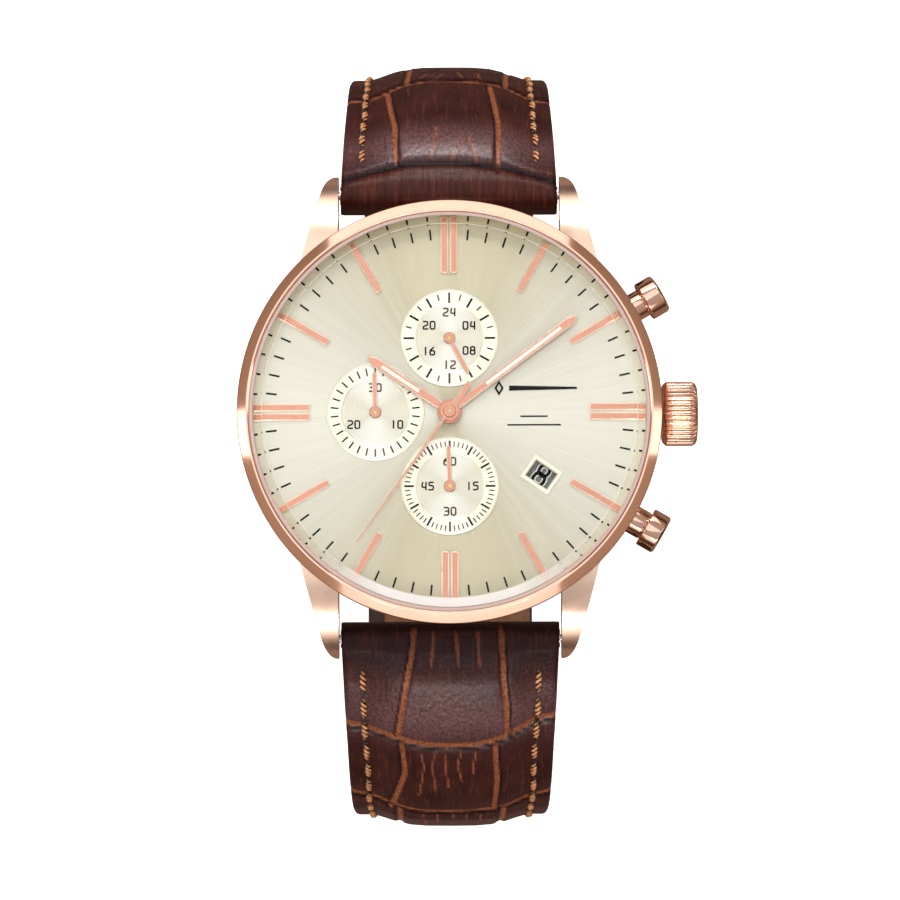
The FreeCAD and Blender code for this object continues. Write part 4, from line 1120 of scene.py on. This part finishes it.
def slot_tool(shape, strap, s, half_u, half_s, radius):
    """A tall rounded plug square to the strap at length s."""
    y, z, ty, tz = strap.frame_at(s)
    outline = filleted(upright(half_u, -half_s, half_s), radius, 6)
    n = len(outline)
    verts = [(u, strap.side * (y + ty * t - tz * b), z + tz * t + ty * b) for b in (-2.0, 5.0)
             for u, t in outline]
    faces = prism(2, n)
    if strap.side < 0:
        faces = [tuple(reversed(f)) for f in faces]
    shape.add(verts, faces)


def bore_tool(shape, radius, y, z, half=14.0, sides=40):
    """A long rod across the strap."""
    verts = [(x, a, b) for x in (-half, half) for a, b in circle(radius, sides, y, z)]
    faces = wall(2, sides, flip=True) + [tuple(range(sides)), tuple(reversed(range(sides, 2 * sides)))]
    shape.add(verts, faces)


LONG_RUN = curve(LONG_LINE)[0][-1]
TIP = [(LONG_RUN - 6, 18.0), (LONG_RUN - 4, 17.4), (LONG_RUN - 2, 15.2), (LONG_RUN - 0.8, 12.0),
       (LONG_RUN, 7.5)]
strap_12 = Strap(SHORT_LINE, 1, STITCH, (5.2, 1.9), CREASES_12 + croc(24.0, 100, 3))
strap_6 = Strap(LONG_LINE, -1, LONG_STITCH, (8.0, 2.5), CREASES_6 + croc(21.5, 118, 5), TIP)
HOLE_R = 1.1
HOLE_HALF = 1.85
HOLE_PITCH = 6.6
hole_run = strap_6.run[np.argmax((strap_6.y <= 3.0) & (strap_6.run > 60))]
punch_6 = Shape()
bore_tool(punch_6, BAR_BORE_R, -BAR_Y, BAR_Z)
for k in range(-3, 4):
    slot_tool(punch_6, strap_6, hole_run + k * HOLE_PITCH, HOLE_R, HOLE_HALF, HOLE_R)
punch_12 = Shape()
bore_tool(punch_12, BAR_BORE_R, BAR_Y, BAR_Z)
bore_tool(punch_12, PIVOT_BORE_R, *PIVOT)
slot_tool(punch_12, strap_12, strap_12.length - 0.4, 1.3, 3.0, 0.1)
carve(strap_12.build("leather_12", "strap_12"), punch_12)
carve(strap_6.build("leather_6", "strap_6"), punch_6)
strap_12.stitches("thread_12", strap_12.length - 6)
strap_6.stitches("thread_6", strap_6.length - 8)


# ---- strap keepers
def divided(outline, spacing):
    """A closed outline with points added about every spacing."""
    out = []
    for i, p in enumerate(outline):
        q = Vector(outline[(i + 1) % len(outline)])
        cuts = max(1, int((q - Vector(p)).length / spacing))
        out += [tuple(Vector(p).lerp(q, k / cuts)) for k in range(cuts)]
    return out


def band(name, body, node, y0):
    """A leather loop round the strap, crowned and with a pressed line near each edge."""
    centre_z, half_w, half_h = -48.675, 9.87, 2.8
    width, thick = 4.0, 0.44
    path = divided(filleted(upright(half_w, -half_h, half_h), 1.1, 6), 0.4)
    section = divided(filleted([(0, -thick), (width, -thick), (width, thick), (0, thick)], 0.4, 4), 0.3)
    verts = []
    for i, (x, z) in enumerate(path):
        d = (Vector(path[(i + 1) % len(path)]) - Vector(path[i - 1])).normalized()
        for a, b in section:
            crown_up = 0.06 * math.sin(math.pi * a / width)
            pressed = 0.07 * math.exp(-((min(a, width - a) - 0.55) / 0.14) ** 2)
            lift = b + (crown_up - pressed if b > 0 else 0)
            verts.append((x + d.y * lift, y0 + a, centre_z + z - d.x * lift))
    shape = Shape()
    shape.add(verts, wall(len(path), len(section), True))
    obj = shape.make(name, body, "leather_brown", KEEPER_HIDE, [node], 60)


KEEPER_HIDE = rough_hide("keeper_hide", (0.075, 0.026, 0.02), 1100)
band("keeper_band_fixed", "watch", "fixed_keeper", 5.2)
band("keeper_band_free", "free_keeper", "free_keeper", 12.5)


# ---- floor, lights and camera
def area(name, place, size, size_y, power):
    """A soft light of the given width and height, facing the watch."""
    data = bpy.data.lights.new(name, "AREA")
    data.energy = power
    data.shape = "RECTANGLE"
    data.size = size
    data.size_y = size_y
    lamp = bpy.data.objects.new(name, data)
    lamp.location = place
    lamp.rotation_euler = Vector(place).to_track_quat("Z", "Y").to_euler()
    link(lamp)


FLOOR_WIDTH = 4.0
floor_mesh = bpy.data.meshes.new("floor")
half_floor = FLOOR_WIDTH / 2
corners = [(x, y, FLOOR_Z) for x, y in upright(half_floor, -half_floor, half_floor)]
floor_mesh.from_pydata(corners, [], [(0, 1, 2, 3)])
floor = bpy.data.objects.new("floor", floor_mesh)
link(floor)
paper = Mat("pale_floor", (0.93, 0.93, 0.93), Roughness=0.9, Emission_Strength=0.75)
paper.to("Emission Color", (1, 1, 1, 1))
seen = paper.node("LightPath").outputs["Is Camera Ray"]
dim = paper.node("BsdfDiffuse", Color=(0.26, 0.19, 0.155, 1))
paper.shaded(seen, dim, paper.bsdf)
floor_mesh.materials.append(paper.mat)

AIM = Vector((0.00003, -0.00393, 0.0083))
TILT = math.radians(5)
ROLL = math.radians(0.2)
BACK = Vector((0, -math.sin(TILT), math.cos(TILT)))
camera_data = bpy.data.cameras.new("camera")
camera_data.lens = 182.9
camera_data.clip_start = 0.01
camera = bpy.data.objects.new("camera", camera_data)
up = Vector((math.sin(ROLL), math.cos(ROLL), 0))
up = (up - BACK * up.dot(BACK)).normalized()
right = up.cross(BACK)
camera.matrix_world = Matrix.Translation(AIM + BACK * 0.45) @ Matrix((right, up, BACK)).transposed().to_4x4()
link(camera)
bpy.context.scene.camera = camera

world = bpy.data.worlds.new("studio")
world.use_nodes = True
bpy.context.scene.world = world
sky = Nodes(world.node_tree)
SKY = [(0.0, (0.5, 0.4, 0.35)), (0.49, (0.3, 0.22, 0.18)), (0.51, (0.05, 0.04, 0.035)),
       (0.6, (0.2, 0.13, 0.09)), (0.77, (0.9, 0.66, 0.5)), (1.0, (1, 1, 1))]
up_share = sky.span(sky.node("SeparateXYZ", Vector=sky.node("TexCoord").outputs["Generated"]).outputs["Z"],
                    -1, 1, 0, 1)
background = sky.tree.nodes["Background"]
sky.put(background.inputs["Color"], sky.ramp(up_share, SKY))
background.inputs["Strength"].default_value = 0.5

area("overhead", (-0.1, 0.12, 0.72), 0.45, 0.45, 0.52)
area("left_strip", (-0.5, 0.0, 0.35), 0.12, 0.6, 0.45)
area("right_strip", (0.5, 0.0, 0.35), 0.12, 0.6, 0.35)
area("back_soft", (0.0, 0.56, 0.32), 0.7, 0.3, 0.8)
area("front_soft", (0.0, -0.52, 0.40), 0.7, 0.3, 0.56)
area("back_strip", (0.0, 0.42, 0.40), 0.4, 0.035, 1.35)
area("front_strip", (0.0, -0.42, 0.40), 0.4, 0.035, 0.9)
bpy.context.scene.view_settings.view_transform = "Standard"
